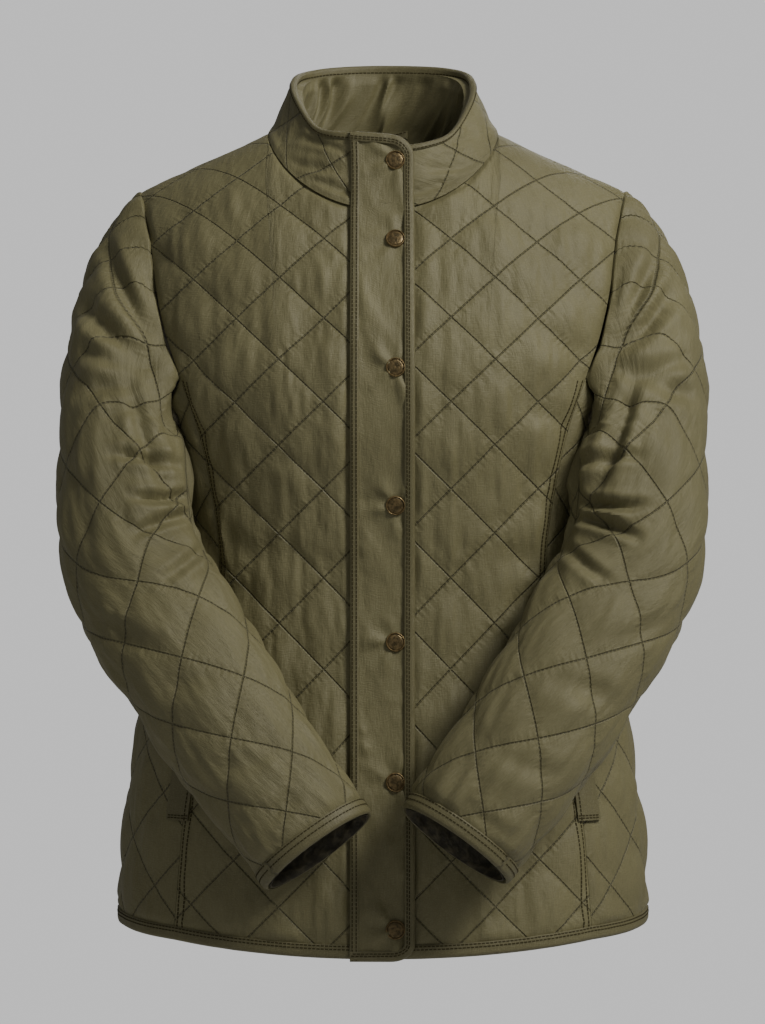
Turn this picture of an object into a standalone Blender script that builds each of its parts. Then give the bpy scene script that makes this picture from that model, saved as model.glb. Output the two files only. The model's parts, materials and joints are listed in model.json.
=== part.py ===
"""A quilted jacket with a stand collar, filled out and hollow, as its cut holds it on a general figure.

Metres, +Z up. The wearer faces -Y and the wearer's right is -X. The origin is the middle of the neck's
base, at the height where the shoulder seams meet the collar. Every cloth piece is a thin closed wall.
Its outer face follows the garment's form, and the wall's thickness goes inwards.
"""

import math
from bisect import bisect_right
from collections import namedtuple

import bmesh
import bpy
from mathutils import Vector

# --- cloth ---------------------------------------------------------------------------------------------
SEAM_GAP = 0.0003
QUILT_WALL = 0.0034
PLAIN_WALL = 0.0022
LINING_WALL = 0.0012
BINDING_WALL = 0.0040
HALF_GAP = SEAM_GAP / 2

# --- body ----------------------------------------------------------------------------------------------
NECK_X = 0.094
SHOULDER_X = 0.198
SHOULDER_SLOPE = math.tan(math.radians(20.3))
SHOULDER_ROLL = 0.095
SQUARENESS = 2.3
FRONT_NECK_DROP = 0.060
BACK_NECK_RISE = 0.004
HEM_FRONT = -0.651
HEM_BACK = -0.654
HEM_SIDE_RISE = 0.018
HEM_BINDING = 0.0098
PRINCESS_TOP = -0.195
UNDERARM = -0.235
ARMHOLE_EASE = 0.0010
NECK_CURVE = (2.2, 0.8)
UNDERARM_CURVE = 0.9
CHEST_HEIGHT = -0.12

Section = namedtuple("Section", "height half_width front_depth back_depth")
BODY_SECTIONS = (
    Section(-0.660, 0.2170, 0.1220, 0.1250),
    Section(-0.610, 0.2155, 0.1200, 0.1240),
    Section(-0.560, 0.2120, 0.1165, 0.1210),
    Section(-0.500, 0.2055, 0.1110, 0.1130),
    Section(-0.430, 0.1950, 0.1060, 0.1000),
    Section(-0.360, 0.1835, 0.1040, 0.0930),
    Section(-0.290, 0.1790, 0.1130, 0.1010),
    Section(-0.235, 0.1870, 0.1220, 0.1110),
    Section(-0.180, 0.1980, 0.1200, 0.1170),
    Section(-0.120, 0.2060, 0.1040, 0.1130),
    Section(-0.060, 0.2080, 0.0800, 0.1000),
    Section(0.000, 0.2080, 0.0640, 0.0920),
    Section(0.040, 0.2080, 0.0560, 0.0860),
)

FrontEdge = namedtuple("FrontEdge", "height across")
FRONT_EDGE = (
    FrontEdge(-0.660, 0.1680),
    FrontEdge(-0.600, 0.1640),
    FrontEdge(-0.530, 0.1575),
    FrontEdge(-0.460, 0.1450),
    FrontEdge(-0.390, 0.1330),
    FrontEdge(-0.330, 0.1310),
    FrontEdge(-0.280, 0.1380),
    FrontEdge(-0.235, 0.1480),
    FrontEdge(-0.195, 0.1620),
    FrontEdge(-0.163, 0.1735),
    FrontEdge(-0.126, 0.1825),
    FrontEdge(-0.080, 0.1890),
    FrontEdge(-0.0385, 0.1980),
)

BackEdge = namedtuple("BackEdge", "height angle")
BACK_ARMHOLE = (
    BackEdge(-0.235, 0.0),
    BackEdge(-0.228, 15.0),
    BackEdge(-0.210, 27.0),
    BackEdge(-0.175, 35.0),
    BackEdge(-0.130, 36.0),
    BackEdge(-0.085, 30.0),
    BackEdge(-0.0385, 19.0),
)

# --- front closure -------------------------------------------------------------------------------------
RIGHT_FRONT_EDGE = 0.0195
LEFT_FRONT_EDGE = -0.0120
BAND_LEFT = -0.0258
BAND_RIGHT = 0.0183
BAND_BINDING = 0.0068
TAPE_WIDTH = 0.0068
BAND_LIFT = 0.0007
BAND_CORNER = 0.012
BAND_TOP_DROP = 0.0045
BAND_FOOT = 0.0015
BAND_CORNER_COLUMN = 0.12
BOTTOM_CORNER_SHARE = 0.6
CORNER_EASE = 0.999
SNAP_ACROSS = 0.0098
SNAP_FIRST = 0.0235
SNAP_STEPS = (0.1147, 0.1100, 0.1084, 0.1084, 0.1075, 0.0670)
SNAP_COUNT = 1 + len(SNAP_STEPS)
SNAP_SEAT = 0.0005
SNAP_SIDES = 16

# --- collar --------------------------------------------------------------------------------------------
COLLAR_HOLLOW = 0.0015
COLLAR_WALL = 0.0022
FACING_WALL = 0.0015
COLLAR_BINDING = 0.10
COLLAR_FOOT = 0.035
COLLAR_SEAM = 0.006
COLLAR_ROWS = 3
COLLAR_TURN_STEP = 0.05
COLLAR_RISE_STEP = 0.01
Rim = namedtuple("Rim", "turn across depth height")
COLLAR_RIM = (
    Rim(0.0, 0.0000, -0.0700, 0.0035),
    Rim(25.0, 0.0350, -0.0670, 0.0035),
    Rim(42.0, 0.0535, -0.0540, 0.0090),
    Rim(62.0, 0.0680, -0.0300, 0.0310),
    Rim(90.0, 0.0745, 0.0050, 0.0540),
    Rim(135.0, 0.0560, 0.0450, 0.0680),
    Rim(180.0, 0.0000, 0.0620, 0.0735),
)
UnderRim = namedtuple("UnderRim", "turn share")
UNDER_COLLAR_RIM = (
    UnderRim(-10.0, 0.78),
    UnderRim(15.0, 0.83),
    UnderRim(45.0, 0.90),
    UnderRim(75.0, 0.96),
    UnderRim(90.0, 1.00),
    UnderRim(180.0, 1.00),
)

# --- sleeves -------------------------------------------------------------------------------------------
Arm = namedtuple("Arm", "along x y z out_x out_y out_z half_out half_front")
SLEEVE_SECTIONS = (
    Arm(0.00, 0.1880, 0.0000, -0.1370, 0.15, 0.00, 0.99, 0.0980, 0.0680),
    Arm(0.08, 0.1970, -0.0010, -0.1480, 0.60, 0.00, 0.80, 0.0880, 0.0690),
    Arm(0.18, 0.2010, -0.0150, -0.1760, 0.90, 0.28, 0.33, 0.0660, 0.0680),
    Arm(0.30, 0.2040, -0.0440, -0.2250, 0.90, 0.42, 0.08, 0.0550, 0.0580),
    Arm(0.43, 0.2045, -0.0750, -0.2860, 0.92, 0.36, -0.12, 0.0555, 0.0520),
    Arm(0.54, 0.1970, -0.0940, -0.3400, 0.80, 0.10, -0.59, 0.0545, 0.0490),
    Arm(0.63, 0.1790, -0.1080, -0.3760, 0.79, -0.10, -0.62, 0.0575, 0.0480),
    Arm(0.74, 0.1500, -0.1290, -0.4220, 0.79, -0.05, -0.62, 0.0560, 0.0450),
    Arm(0.85, 0.1130, -0.1470, -0.4780, 0.79, 0.00, -0.62, 0.0540, 0.0420),
    Arm(0.93, 0.0830, -0.1570, -0.5180, 0.80, 0.00, -0.60, 0.0515, 0.0385),
    Arm(1.00, 0.0520, -0.1645, -0.5600, 0.81, 0.00, -0.58, 0.0500, 0.0350),
)
CUFF_SHIFT = {1: (0.0030, 0.0025), -1: (-0.0030, -0.0020)}
CAP_SHARE = 0.26
CUFF_BINDING_SHARE = 0.985
LINING_SHARE = 0.86
BODY_CLEARANCE = 0.004
LEAD_START = 0.0007
LEAD_RISE = 0.03
LEAD_UP = 0.6
LEAD_OUT = 0.8
HOLD_START = 0.5
AXIS_STEP = 0.004
FOREARM_START = 0.6
SEAM_TRAVEL_END = 0.8
SLIDE_ACROSS = 0.5
SLIDE_DEEP = 1.3
SLIDE_REACH = 0.12
SLIDE_HALVINGS = 20
BACK_SEAM_TURN = (295.0, 368.0)
INNER_SEAM_TURN = (160.0, 195.0)

# --- small pieces --------------------------------------------------------------------------------------
WELT_TOP = -0.405
WELT_BOTTOM = -0.546
WELT_INNER = 0.1530
WELT_OUTER = 0.1640
WELT_WALL = 0.0014
LOOP_TURN = 160.0
LOOP_LOW = 0.17
LOOP_HIGH = 0.29
LOOP_WALL = 0.0010
LOOP_COLUMNS = 4
WELT_LIFT = 0.00045

# --- mesh counts ---------------------------------------------------------------------------------------
BODY_ROWS = 11
CHEST_ROWS = 6
NECK_COLUMNS = 5
SHOULDER_COLUMNS = 4
SIDE_COLUMNS = 4
LOOP_COUNT = CHEST_ROWS * 2 + SIDE_COLUMNS
SLEEVE_ROWS = 20
UNDER_FIRST = 8
UNDER_LAST = 14
BAND_COLUMNS = 5
BAND_ROWS = 24
FACE_STEP = 1e-4

Finish = namedtuple("Finish", "name colour roughness metallic")
OLIVE_SHELL = Finish("olive shell cloth", (0.123, 0.107, 0.053, 1.0), 0.62, 0.0)
OLIVE_BINDING = Finish("olive binding", (0.105, 0.090, 0.044, 1.0), 0.60, 0.0)
DARK_LINING = Finish("dark olive lining", (0.062, 0.053, 0.028, 1.0), 0.75, 0.0)
AGED_BRASS = Finish("aged brass", (0.150, 0.092, 0.040, 1.0), 0.42, 0.9)


# --- curves and tables ---------------------------------------------------------------------------------
def lerp(first, last, share):
    """Return the value that lies the given share of the way from first to last."""
    return first + (last - first) * share


def smooth_column(rows, column):
    """Return a smooth function of a table's first column that passes through another column's values."""
    keys = [row[0] for row in rows]
    values = [getattr(row, column) for row in rows]
    runs = [(b - a) / (q - p) for a, b, p, q in zip(values, values[1:], keys, keys[1:])]
    middle = [(a + b) / 2 for a, b in zip(runs, runs[1:])]
    slopes = [runs[0]] + middle + [runs[-1]]

    def value(key):
        key = min(max(key, keys[0]), keys[-1])
        i = min(bisect_right(keys, key) - 1, len(keys) - 2)
        width = keys[i + 1] - keys[i]
        t = (key - keys[i]) / width
        rise = (2 * t**3 - 3 * t**2 + 1) * values[i] + (3 * t**2 - 2 * t**3) * values[i + 1]
        bend = (t**3 - 2 * t**2 + t) * slopes[i] + (t**3 - t**2) * slopes[i + 1]
        return rise + bend * width

    return value


half_width = smooth_column(BODY_SECTIONS, "half_width")
front_depth = smooth_column(BODY_SECTIONS, "front_depth")
back_depth = smooth_column(BODY_SECTIONS, "back_depth")
front_edge = smooth_column(FRONT_EDGE, "across")
back_armhole = smooth_column(BACK_ARMHOLE, "angle")
under_rim = smooth_column(UNDER_COLLAR_RIM, "share")
rim_curves = [smooth_column(COLLAR_RIM, name) for name in ("across", "depth", "height")]
arm_curves = {name: smooth_column(SLEEVE_SECTIONS, name) for name in Arm._fields[1:]}


# --- the body's surface --------------------------------------------------------------------------------
def ridge_height(across):
    """Height of the shoulder line at a distance from the middle."""
    return (NECK_X - across) * SHOULDER_SLOPE


def neck_front_height(across):
    """Height of the front neckline at a distance from the middle."""
    share = min(abs(across) / NECK_X, 1.0)
    bend, end = NECK_CURVE
    return -FRONT_NECK_DROP * (1 - share**bend) ** end


def neck_back_height(across):
    """Height of the back neckline at a distance from the middle."""
    return BACK_NECK_RISE * (1 - (across / NECK_X) ** 2)


def roll_angle(ridge, height):
    """Angle along the shoulder's roll: 0 on the ridge, a quarter turn where the roll ends, then straight."""
    drop = max(ridge - height, 0.0) / SHOULDER_ROLL
    return math.acos(1 - drop) if drop < 1 else math.pi / 2 + drop - 1


def roll_height(ridge, angle):
    """Height at an angle along the shoulder's roll."""
    drop = 1 - math.cos(angle) if angle < math.pi / 2 else 1 + angle - math.pi / 2
    return ridge - SHOULDER_ROLL * drop


def roll_share(angle):
    """Share of the full depth that the roll leaves at an angle."""
    return math.sin(angle) if angle < math.pi / 2 else 1.0


def section_share(across, height):
    """Share of the section's full depth that is left at a distance from the middle."""
    ratio = min(abs(across) / half_width(height), 1.0)
    return (1 - ratio**SQUARENESS) ** (1 / SQUARENESS)


def hem_height(across, low):
    """Height of the hem at a distance from the middle: level in front and behind, raised at the sides."""
    return low + HEM_SIDE_RISE * min(abs(across) / half_width(low), 1.0) ** 2


def climb(ridge, low, middle, top, v, split):
    """Angle along a column at v: the body's rows up to the split, the chest's rows above it."""
    angles = [roll_angle(ridge, height) for height in (low, middle, top)]
    if v <= split:
        return lerp(angles[0], angles[1], v / split)
    return lerp(angles[1], angles[2], (v - split) / (1 - split))


SPLIT = BODY_ROWS / (BODY_ROWS + CHEST_ROWS)
NECK_SHARE = NECK_COLUMNS / (NECK_COLUMNS + SHOULDER_COLUMNS)


def top_across(inner, u):
    """Distance from the middle of a column's top end: along the neckline, then along the shoulder."""
    if u <= NECK_SHARE:
        first = math.asin(inner / NECK_X)
        return NECK_X * math.sin(lerp(first, math.pi / 2, u / NECK_SHARE))
    return lerp(NECK_X, SHOULDER_X, (u - NECK_SHARE) / (1 - NECK_SHARE))


def front_point(inner, u, v, low_lift=HEM_BINDING):
    """Point of a front: u from its inner edge to the princess seam and armhole, v from hem to top."""
    top_x = top_across(inner, u)
    ridge = ridge_height(top_x)
    top = ridge if u > NECK_SHARE else min(neck_front_height(top_x) - SEAM_GAP, ridge)
    share = (top_x - inner) / (SHOULDER_X - inner)
    low = hem_height(lerp(inner, front_edge(HEM_FRONT), share), HEM_FRONT) + low_lift
    angle = climb(ridge, low, PRINCESS_TOP, top, v, SPLIT)
    z = roll_height(ridge, angle)
    x = lerp(inner, front_edge(z) - HALF_GAP, share)
    y = -(HALF_GAP + roll_share(angle) * front_depth(z) * section_share(x, z))
    return Vector((x, y, z))


def side_point(u, v, low_lift=HEM_BINDING, ease=0.0):
    """Point of a side panel: u from the princess seam to the side seam, v from hem to armhole."""
    top = PRINCESS_TOP - ease + (UNDERARM - PRINCESS_TOP) * math.sin(u * math.pi / 2) ** UNDERARM_CURVE
    low = hem_height(lerp(front_edge(HEM_FRONT), half_width(HEM_FRONT), u), HEM_FRONT) + low_lift
    z = lerp(low, top, v)
    seam = (front_edge(z) + HALF_GAP) / half_width(z)
    turn = lerp(math.acos(seam ** (SQUARENESS / 2)), 0.0, u)
    x = half_width(z) * math.cos(turn) ** (2 / SQUARENESS)
    y = -(HALF_GAP + front_depth(z) * max(math.sin(turn), 0.0) ** (2 / SQUARENESS))
    return Vector((x, y, z))


def back_point(u, v, low_lift=HEM_BINDING):
    """Point of the back's half: u from the middle to the side seam and armhole, v from hem to top."""
    top_x = top_across(0.0, u)
    ridge = ridge_height(top_x)
    top = ridge if u > NECK_SHARE else neck_back_height(top_x) - SEAM_GAP
    edge_top = math.pi / 2 - math.radians(BACK_ARMHOLE[-1].angle)
    column = math.asin((top_x / half_width(0.0)) ** (SQUARENESS / 2)) / edge_top
    column = min(column, 1.0)
    low = lerp(HEM_BACK, HEM_FRONT, column) + HEM_SIDE_RISE * math.sin(column * math.pi / 2) ** 2 + low_lift
    angle = climb(ridge, low, UNDERARM, top, v, SPLIT)
    z = roll_height(ridge, angle)
    edge = math.pi / 2 - math.radians(back_armhole(z)) - HALF_GAP / half_width(z)
    turn = column * (edge if v > SPLIT else math.pi / 2)
    x = half_width(z) * max(math.sin(turn), 0.0) ** (2 / SQUARENESS)
    y = HALF_GAP + roll_share(angle) * back_depth(z) * max(math.cos(turn), 0.0) ** (2 / SQUARENESS)
    return Vector((x, y, z))


def outward(surface, u, v, inside):
    """Unit normal of a surface at u, v, turned away from a point inside the garment."""
    u0, u1 = max(u - FACE_STEP, 0.0), min(u + FACE_STEP, 1.0)
    v0, v1 = max(v - FACE_STEP, 0.0), min(v + FACE_STEP, 1.0)
    normal = (surface(u1, v) - surface(u0, v)).cross(surface(u, v1) - surface(u, v0)).normalized()
    return normal if normal.dot(surface(u, v) - inside) > 0 else -normal


def body_middle(point):
    """A point inside the body at a surface point's height."""
    return Vector((0.0, 0.0, min(point.z, CHEST_HEIGHT)))


# --- grids: rows of (outer point, outward normal) --------------------------------------------------------
def surface_grid(surface, columns, rows, side=1, middle=body_middle):
    """Sample a half-garment surface into rows of (point, normal), mirrored for the side."""
    grid = []
    for j in range(rows + 1):
        row = []
        for i in range(columns + 1):
            point = surface(i / columns, j / rows)
            normal = outward(surface, i / columns, j / rows, middle(point))
            row.append((mirrored(point, side), mirrored(normal, side)))
        grid.append(row)
    return grid


def mirrored(vector, side):
    """The vector on the +X side as it is, and mirrored for the -X side."""
    return Vector((side * vector.x, vector.y, vector.z))


def at_depth(grid, depth):
    """Points of a grid moved inwards by depth."""
    return [[point - normal * depth for point, normal in row] for row in grid]


# --- solids --------------------------------------------------------------------------------------------
def finish_material(finish):
    """Make or find the Principled material of a finish."""
    material = bpy.data.materials.get(finish.name)
    if material is None:
        material = bpy.data.materials.new(finish.name)
        material.use_nodes = True
        shader = material.node_tree.nodes["Principled BSDF"]
        shader.inputs["Base Color"].default_value = finish.colour
        shader.inputs["Roughness"].default_value = finish.roughness
        shader.inputs["Metallic"].default_value = finish.metallic
        material.diffuse_color = finish.colour
    return material


def add_object(name, bm, finish, smooth_angle=40.0):
    """Turn a closed bmesh into a named object with outward faces."""
    bmesh.ops.recalc_face_normals(bm, faces=bm.faces)
    mesh = bpy.data.meshes.new(name)
    bm.to_mesh(mesh)
    bm.free()
    mesh.materials.append(finish_material(finish))
    mesh.shade_smooth()
    mesh.set_sharp_from_angle(angle=math.radians(smooth_angle))
    thing = bpy.data.objects.new(name, mesh)
    bpy.context.scene.collection.objects.link(thing)
    return thing


def wall(name, outer, inner, finish, closed=False):
    """A closed wall between two equal grids of points. A closed one joins its first and last columns."""
    rows, columns = len(outer), len(outer[0])
    bm = bmesh.new()
    bmesh.ops.create_grid(bm, x_segments=columns - 1, y_segments=rows - 1, size=1.0)
    spot = bm.verts.layers.int.new("spot")
    for index, vert in enumerate(bm.verts):
        vert[spot] = index
        vert.co = outer[index // columns][index % columns]
    if closed:
        bmesh.ops.remove_doubles(bm, verts=bm.verts, dist=FACE_STEP / 10)
    extruded = bmesh.ops.extrude_face_region(bm, geom=list(bm.faces))
    for item in extruded["geom"]:
        if isinstance(item, bmesh.types.BMVert):
            index = item[spot]
            item.co = inner[index // columns][index % columns]
    bmesh.ops.triangulate(bm, faces=bm.faces)
    return add_object(name, bm, finish)


def panel(name, grid, thickness, finish, depth=0.0, closed=False):
    """A wall whose outer face lies at a depth under the grid."""
    return wall(name, at_depth(grid, depth), at_depth(grid, depth + thickness), finish, closed)


# --- body panels ---------------------------------------------------------------------------------------
PANEL_ROWS = BODY_ROWS + CHEST_ROWS
PANEL_COLUMNS = NECK_COLUMNS + SHOULDER_COLUMNS


def front_grid(side):
    """The front on one side. The right one stops at the band, the left one runs under it."""
    inner = RIGHT_FRONT_EDGE if side < 0 else LEFT_FRONT_EDGE
    return surface_grid(lambda u, v: front_point(inner, u, v), PANEL_COLUMNS, PANEL_ROWS, side)


def side_grid(side):
    """The side panel between the princess seam and the side seam."""
    return surface_grid(lambda u, v: side_point(u, v, ease=ARMHOLE_EASE), SIDE_COLUMNS, BODY_ROWS, side)


def back_half_grid(side):
    """One half of the back."""
    return surface_grid(back_point, PANEL_COLUMNS, PANEL_ROWS, side)


def back_grid():
    """The whole back in one piece, from the -X side to the +X side."""
    right, left = back_half_grid(-1), back_half_grid(1)
    return [row[::-1] + other[1:] for row, other in zip(right, left)]


def hem_grid():
    """The strip below every panel, from the right front round the back to the left front."""
    strip = []
    for level in (0.0, HEM_BINDING - SEAM_GAP):
        row = []
        for side in (-1, 1):
            inner = RIGHT_FRONT_EDGE if side < 0 else LEFT_FRONT_EDGE
            parts = (
                (lambda u, v, lift=level, edge=inner: front_point(edge, u, v, lift), PANEL_COLUMNS),
                (lambda u, v, lift=level: side_point(u, v, lift), SIDE_COLUMNS),
                (lambda u, v, lift=level: back_point(1 - u, v, lift), PANEL_COLUMNS),
            )
            half = []
            for surface, columns in parts:
                samples = surface_grid(surface, columns, 1, side)[0]
                half.extend(samples if not half else samples[1:])
            row.extend(half if side < 0 else half[::-1][1:])
        strip.append(row)
    return strip


def make_body():
    """The five quilted body panels and the hem binding."""
    panel("front_right", front_grid(-1), QUILT_WALL, OLIVE_SHELL)
    panel("front_left", front_grid(1), QUILT_WALL, OLIVE_SHELL)
    panel("side_right", side_grid(-1), QUILT_WALL, OLIVE_SHELL)
    panel("side_left", side_grid(1), QUILT_WALL, OLIVE_SHELL)
    panel("back", back_grid(), QUILT_WALL, OLIVE_SHELL)
    panel("hem_binding", hem_grid(), QUILT_WALL, OLIVE_BINDING)


# --- sleeves -------------------------------------------------------------------------------------------
def armhole_loop():
    """The armhole on the +X side: points and normals down the front, under the arm and up the back."""
    front = surface_grid(lambda u, v: front_point(LEFT_FRONT_EDGE, u, v), PANEL_COLUMNS, PANEL_ROWS)
    side = surface_grid(side_point, SIDE_COLUMNS, BODY_ROWS)
    back = surface_grid(back_point, PANEL_COLUMNS, PANEL_ROWS)
    down_front = [row[-1] for row in front[BODY_ROWS:]][::-1]
    under = side[-1][1:]
    up_back = [row[-1] for row in back[BODY_ROWS + 1 :]]
    return down_front + under + up_back


def clear_of_body(point, clearance):
    """Slide a point forward and outward until it is clear of the body's section at its height."""
    if point.z > PRINCESS_TOP:
        return point
    depth = front_depth(point.z) if point.y < 0 else back_depth(point.z)
    reach_x = half_width(point.z) + clearance
    reach_y = depth + clearance
    way = Vector((SLIDE_ACROSS * point.x / reach_x, SLIDE_DEEP * point.y / reach_y, 0.0)).normalized()

    def inside(distance):
        moved = point + way * distance
        return abs(moved.x / reach_x) ** SQUARENESS + abs(moved.y / reach_y) ** SQUARENESS < 1

    near, far = 0.0, SLIDE_REACH
    if not inside(near):
        return point
    for _ in range(SLIDE_HALVINGS):
        middle = (near + far) / 2
        near, far = (middle, far) if inside(middle) else (near, middle)
    return point + way * far


def sleeve_frame(along, side):
    """Centre, outer direction and front direction of a sleeve's section."""
    centre, ahead, behind = (arm_centre(along + d, side) for d in (0.0, AXIS_STEP, -AXIS_STEP))
    axis = (ahead - behind).normalized()
    hint = Vector([arm_curves[name](along) for name in ("out_x", "out_y", "out_z")])
    out = (hint - axis * hint.dot(axis)).normalized()
    front = axis.cross(out).normalized()
    if front.y > 0:
        front = -front
    return centre, out, front


def arm_centre(along, side):
    """Centre of the sleeve on the +X side, with the cuff's own shift on each side."""
    along_inside = min(max(along, 0.0), 1.0)
    centre = Vector([arm_curves[name](along_inside) for name in ("x", "y", "z")])
    shift_x, shift_z = CUFF_SHIFT[side]
    reach = max(along_inside - FOREARM_START, 0.0) / (1 - FOREARM_START)
    return centre + Vector((shift_x, 0.0, shift_z)) * reach


def ring_turn(index, along):
    """Angle of a sleeve column: both seams travel round the arm as it bends."""
    travel = min(along / SEAM_TRAVEL_END, 1.0)
    back = lerp(BACK_SEAM_TURN[0], BACK_SEAM_TURN[1], travel)
    inner = lerp(INNER_SEAM_TURN[0], INNER_SEAM_TURN[1], travel)
    if UNDER_FIRST <= index <= UNDER_LAST:
        return lerp(inner, back, (index - UNDER_FIRST) / (UNDER_LAST - UNDER_FIRST))
    index = index + LOOP_COUNT if index < UNDER_FIRST else index
    return lerp(back, inner + 360.0, (index - UNDER_LAST) / (UNDER_FIRST + LOOP_COUNT - UNDER_LAST))


def sleeve_point(loop, index, along, side):
    """Point of the sleeve: the armhole's own points at first, then rounded sections along the arm."""
    seam_point, seam_normal = loop[index]
    centre, out, front = sleeve_frame(along, side)
    turn = math.radians(ring_turn(index, along))
    across = arm_curves["half_out"](along) * math.cos(turn)
    deep = arm_curves["half_front"](along) * math.sin(turn)
    section = centre + out * across + front * deep
    blend = min(along / CAP_SHARE, 1.0)
    blend = blend * blend * (3 - 2 * blend)
    under_arm = seam_point.z < PRINCESS_TOP - FACE_STEP
    aside = Vector((0.0, 0.0, LEAD_UP)) if under_arm else Vector((LEAD_OUT, 0.0, 0.0))
    lead = (seam_normal + aside).normalized() * (LEAD_START + LEAD_RISE * min(along, CAP_SHARE))
    start = seam_point + lead
    point = start.lerp(section, blend)
    if point.z > UNDERARM:
        point.x = max(point.x, lerp(start.x, section.x, max(along / CAP_SHARE - HOLD_START, 0.0)))
    return clear_of_body(point, BODY_CLEARANCE * min(along / CAP_SHARE, 1.0) + LEAD_START)


def sleeve_grid(side):
    """The whole sleeve as rows of (point, normal), one column for each armhole point."""
    loop = armhole_loop()[:LOOP_COUNT]
    points = []
    for j in range(SLEEVE_ROWS + 1):
        along = CUFF_BINDING_SHARE * j / SLEEVE_ROWS
        points.append([sleeve_point(loop, i, along, side) for i in range(LOOP_COUNT)])
    points.append([sleeve_point(loop, i, 1.0, side) for i in range(LOOP_COUNT)])
    grid = []
    for j, row in enumerate(points):
        below, above = points[max(j - 1, 0)], points[min(j + 1, len(points) - 1)]
        centre = sum(row, Vector()) / len(row)
        samples = []
        for i, point in enumerate(row):
            around = row[(i + 1) % LOOP_COUNT] - row[i - 1]
            normal = around.cross(above[i] - below[i]).normalized()
            if normal.dot(point - centre) < 0:
                normal = -normal
            if j == 0:
                normal = loop[i][1]
            samples.append((mirrored(point, side), mirrored(normal, side)))
        grid.append(samples)
    return grid


def strip_of(grid, first, count):
    """Columns of a closed grid, with its edges drawn in by half the seam gap."""
    strip = []
    for row in grid:
        cells = [row[(first + i) % len(row)] for i in range(count + 1)]
        for end, near in ((0, 1), (-1, -2)):
            point, normal = cells[end]
            inward = (cells[near][0] - point).normalized()
            cells[end] = (point + inward * HALF_GAP, normal)
        strip.append(cells)
    return strip


def closed_ring(rows):
    """Rows of a tube with the first column repeated at the end."""
    return [row + [row[0]] for row in rows]


def pulled(row, toward, distance):
    """A row moved toward another row by a distance."""
    moved = []
    for (point, normal), (other, _) in zip(row, toward):
        moved.append((point + (other - point).normalized() * distance, normal))
    return moved


def make_sleeve(side, name):
    """Upper and under sleeve, cuff binding and the lining that shows in the cuff."""
    grid = sleeve_grid(side)
    body, cuff = grid[:-1], grid[-2:]
    upper = strip_of(body, UNDER_LAST, LOOP_COUNT - UNDER_LAST + UNDER_FIRST)
    under = strip_of(body, UNDER_FIRST, UNDER_LAST - UNDER_FIRST)
    panel(f"upper_sleeve_{name}", upper, QUILT_WALL, OLIVE_SHELL)
    panel(f"under_sleeve_{name}", under, QUILT_WALL, OLIVE_SHELL)
    binding = [pulled(cuff[0], cuff[1], SEAM_GAP), cuff[1]]
    panel(f"cuff_binding_{name}", closed_ring(binding), QUILT_WALL, OLIVE_BINDING, closed=True)
    lining = closed_ring(body[int(LINING_SHARE * SLEEVE_ROWS) :])
    depth = QUILT_WALL + SEAM_GAP
    panel(f"sleeve_lining_{name}", lining, LINING_WALL, DARK_LINING, depth=depth, closed=True)


# --- collar --------------------------------------------------------------------------------------------
def collar_point(turn, rise):
    """Point of the collar's outer face: turn in degrees from the front, rise 0 at the neck, 1 at the rim."""
    across = NECK_X * math.sin(math.radians(turn))
    if turn <= 90.0:
        z = neck_front_height(across)
        angle = roll_angle(ridge_height(abs(across)), z)
        y = -(HALF_GAP + roll_share(angle) * front_depth(z) * section_share(across, z))
    else:
        z = neck_back_height(across)
        angle = roll_angle(ridge_height(across), z)
        y = HALF_GAP + roll_share(angle) * back_depth(z) * section_share(across, z)
    base = Vector((across, y, z))
    rim = Vector([curve(abs(turn)) for curve in rim_curves])
    rim.x = math.copysign(rim.x, turn)
    waist = 4 * rise * (1 - rise) * COLLAR_HOLLOW
    point = base.lerp(rim, rise)
    toward = Vector((-point.x, -point.y, 0.0)).normalized()
    return point + toward * waist


def collar_turns(side):
    """The collar's columns on one side, from the front to the middle of the back."""
    inner = RIGHT_FRONT_EDGE if side < 0 else LEFT_FRONT_EDGE
    first = math.degrees(math.asin(inner / NECK_X))
    front = [lerp(first, 90.0, i / NECK_COLUMNS) for i in range(NECK_COLUMNS + 1)]
    back = [lerp(90.0, 180.0, i / NECK_COLUMNS) for i in range(1, NECK_COLUMNS + 1)]
    return front + back


def collar_sample(turn, rise, side):
    """Point and normal of the collar."""
    low, high = max(rise - COLLAR_RISE_STEP, 0.0), min(rise + COLLAR_RISE_STEP, 1.0)
    ahead = collar_point(min(turn + COLLAR_TURN_STEP, 180.0), rise)
    behind = collar_point(turn - COLLAR_TURN_STEP, rise)
    normal = (ahead - behind).cross(collar_point(turn, high) - collar_point(turn, low)).normalized()
    point = collar_point(turn, rise)
    if normal.dot(Vector((point.x, point.y, 0.0))) < 0:
        normal = -normal
    return mirrored(point, side), mirrored(normal, side)


def collar_row(share_low, share_high, level):
    """A row right round the collar. The left side's rim is lower near the front, under the band."""
    row = []
    for side in (-1, 1):
        half = []
        for turn in collar_turns(side):
            rim = 1.0 if side < 0 else under_rim(turn)
            rise = lerp(share_low * rim, share_high * rim, level)
            half.append(collar_sample(turn, rise, side))
        row.extend(half if side < 0 else half[::-1][1:])
    return row


def collar_grid(low, high, rows):
    """Rows of the collar between two shares of its height."""
    return [collar_row(low, high, j / rows) for j in range(rows + 1)]


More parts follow.
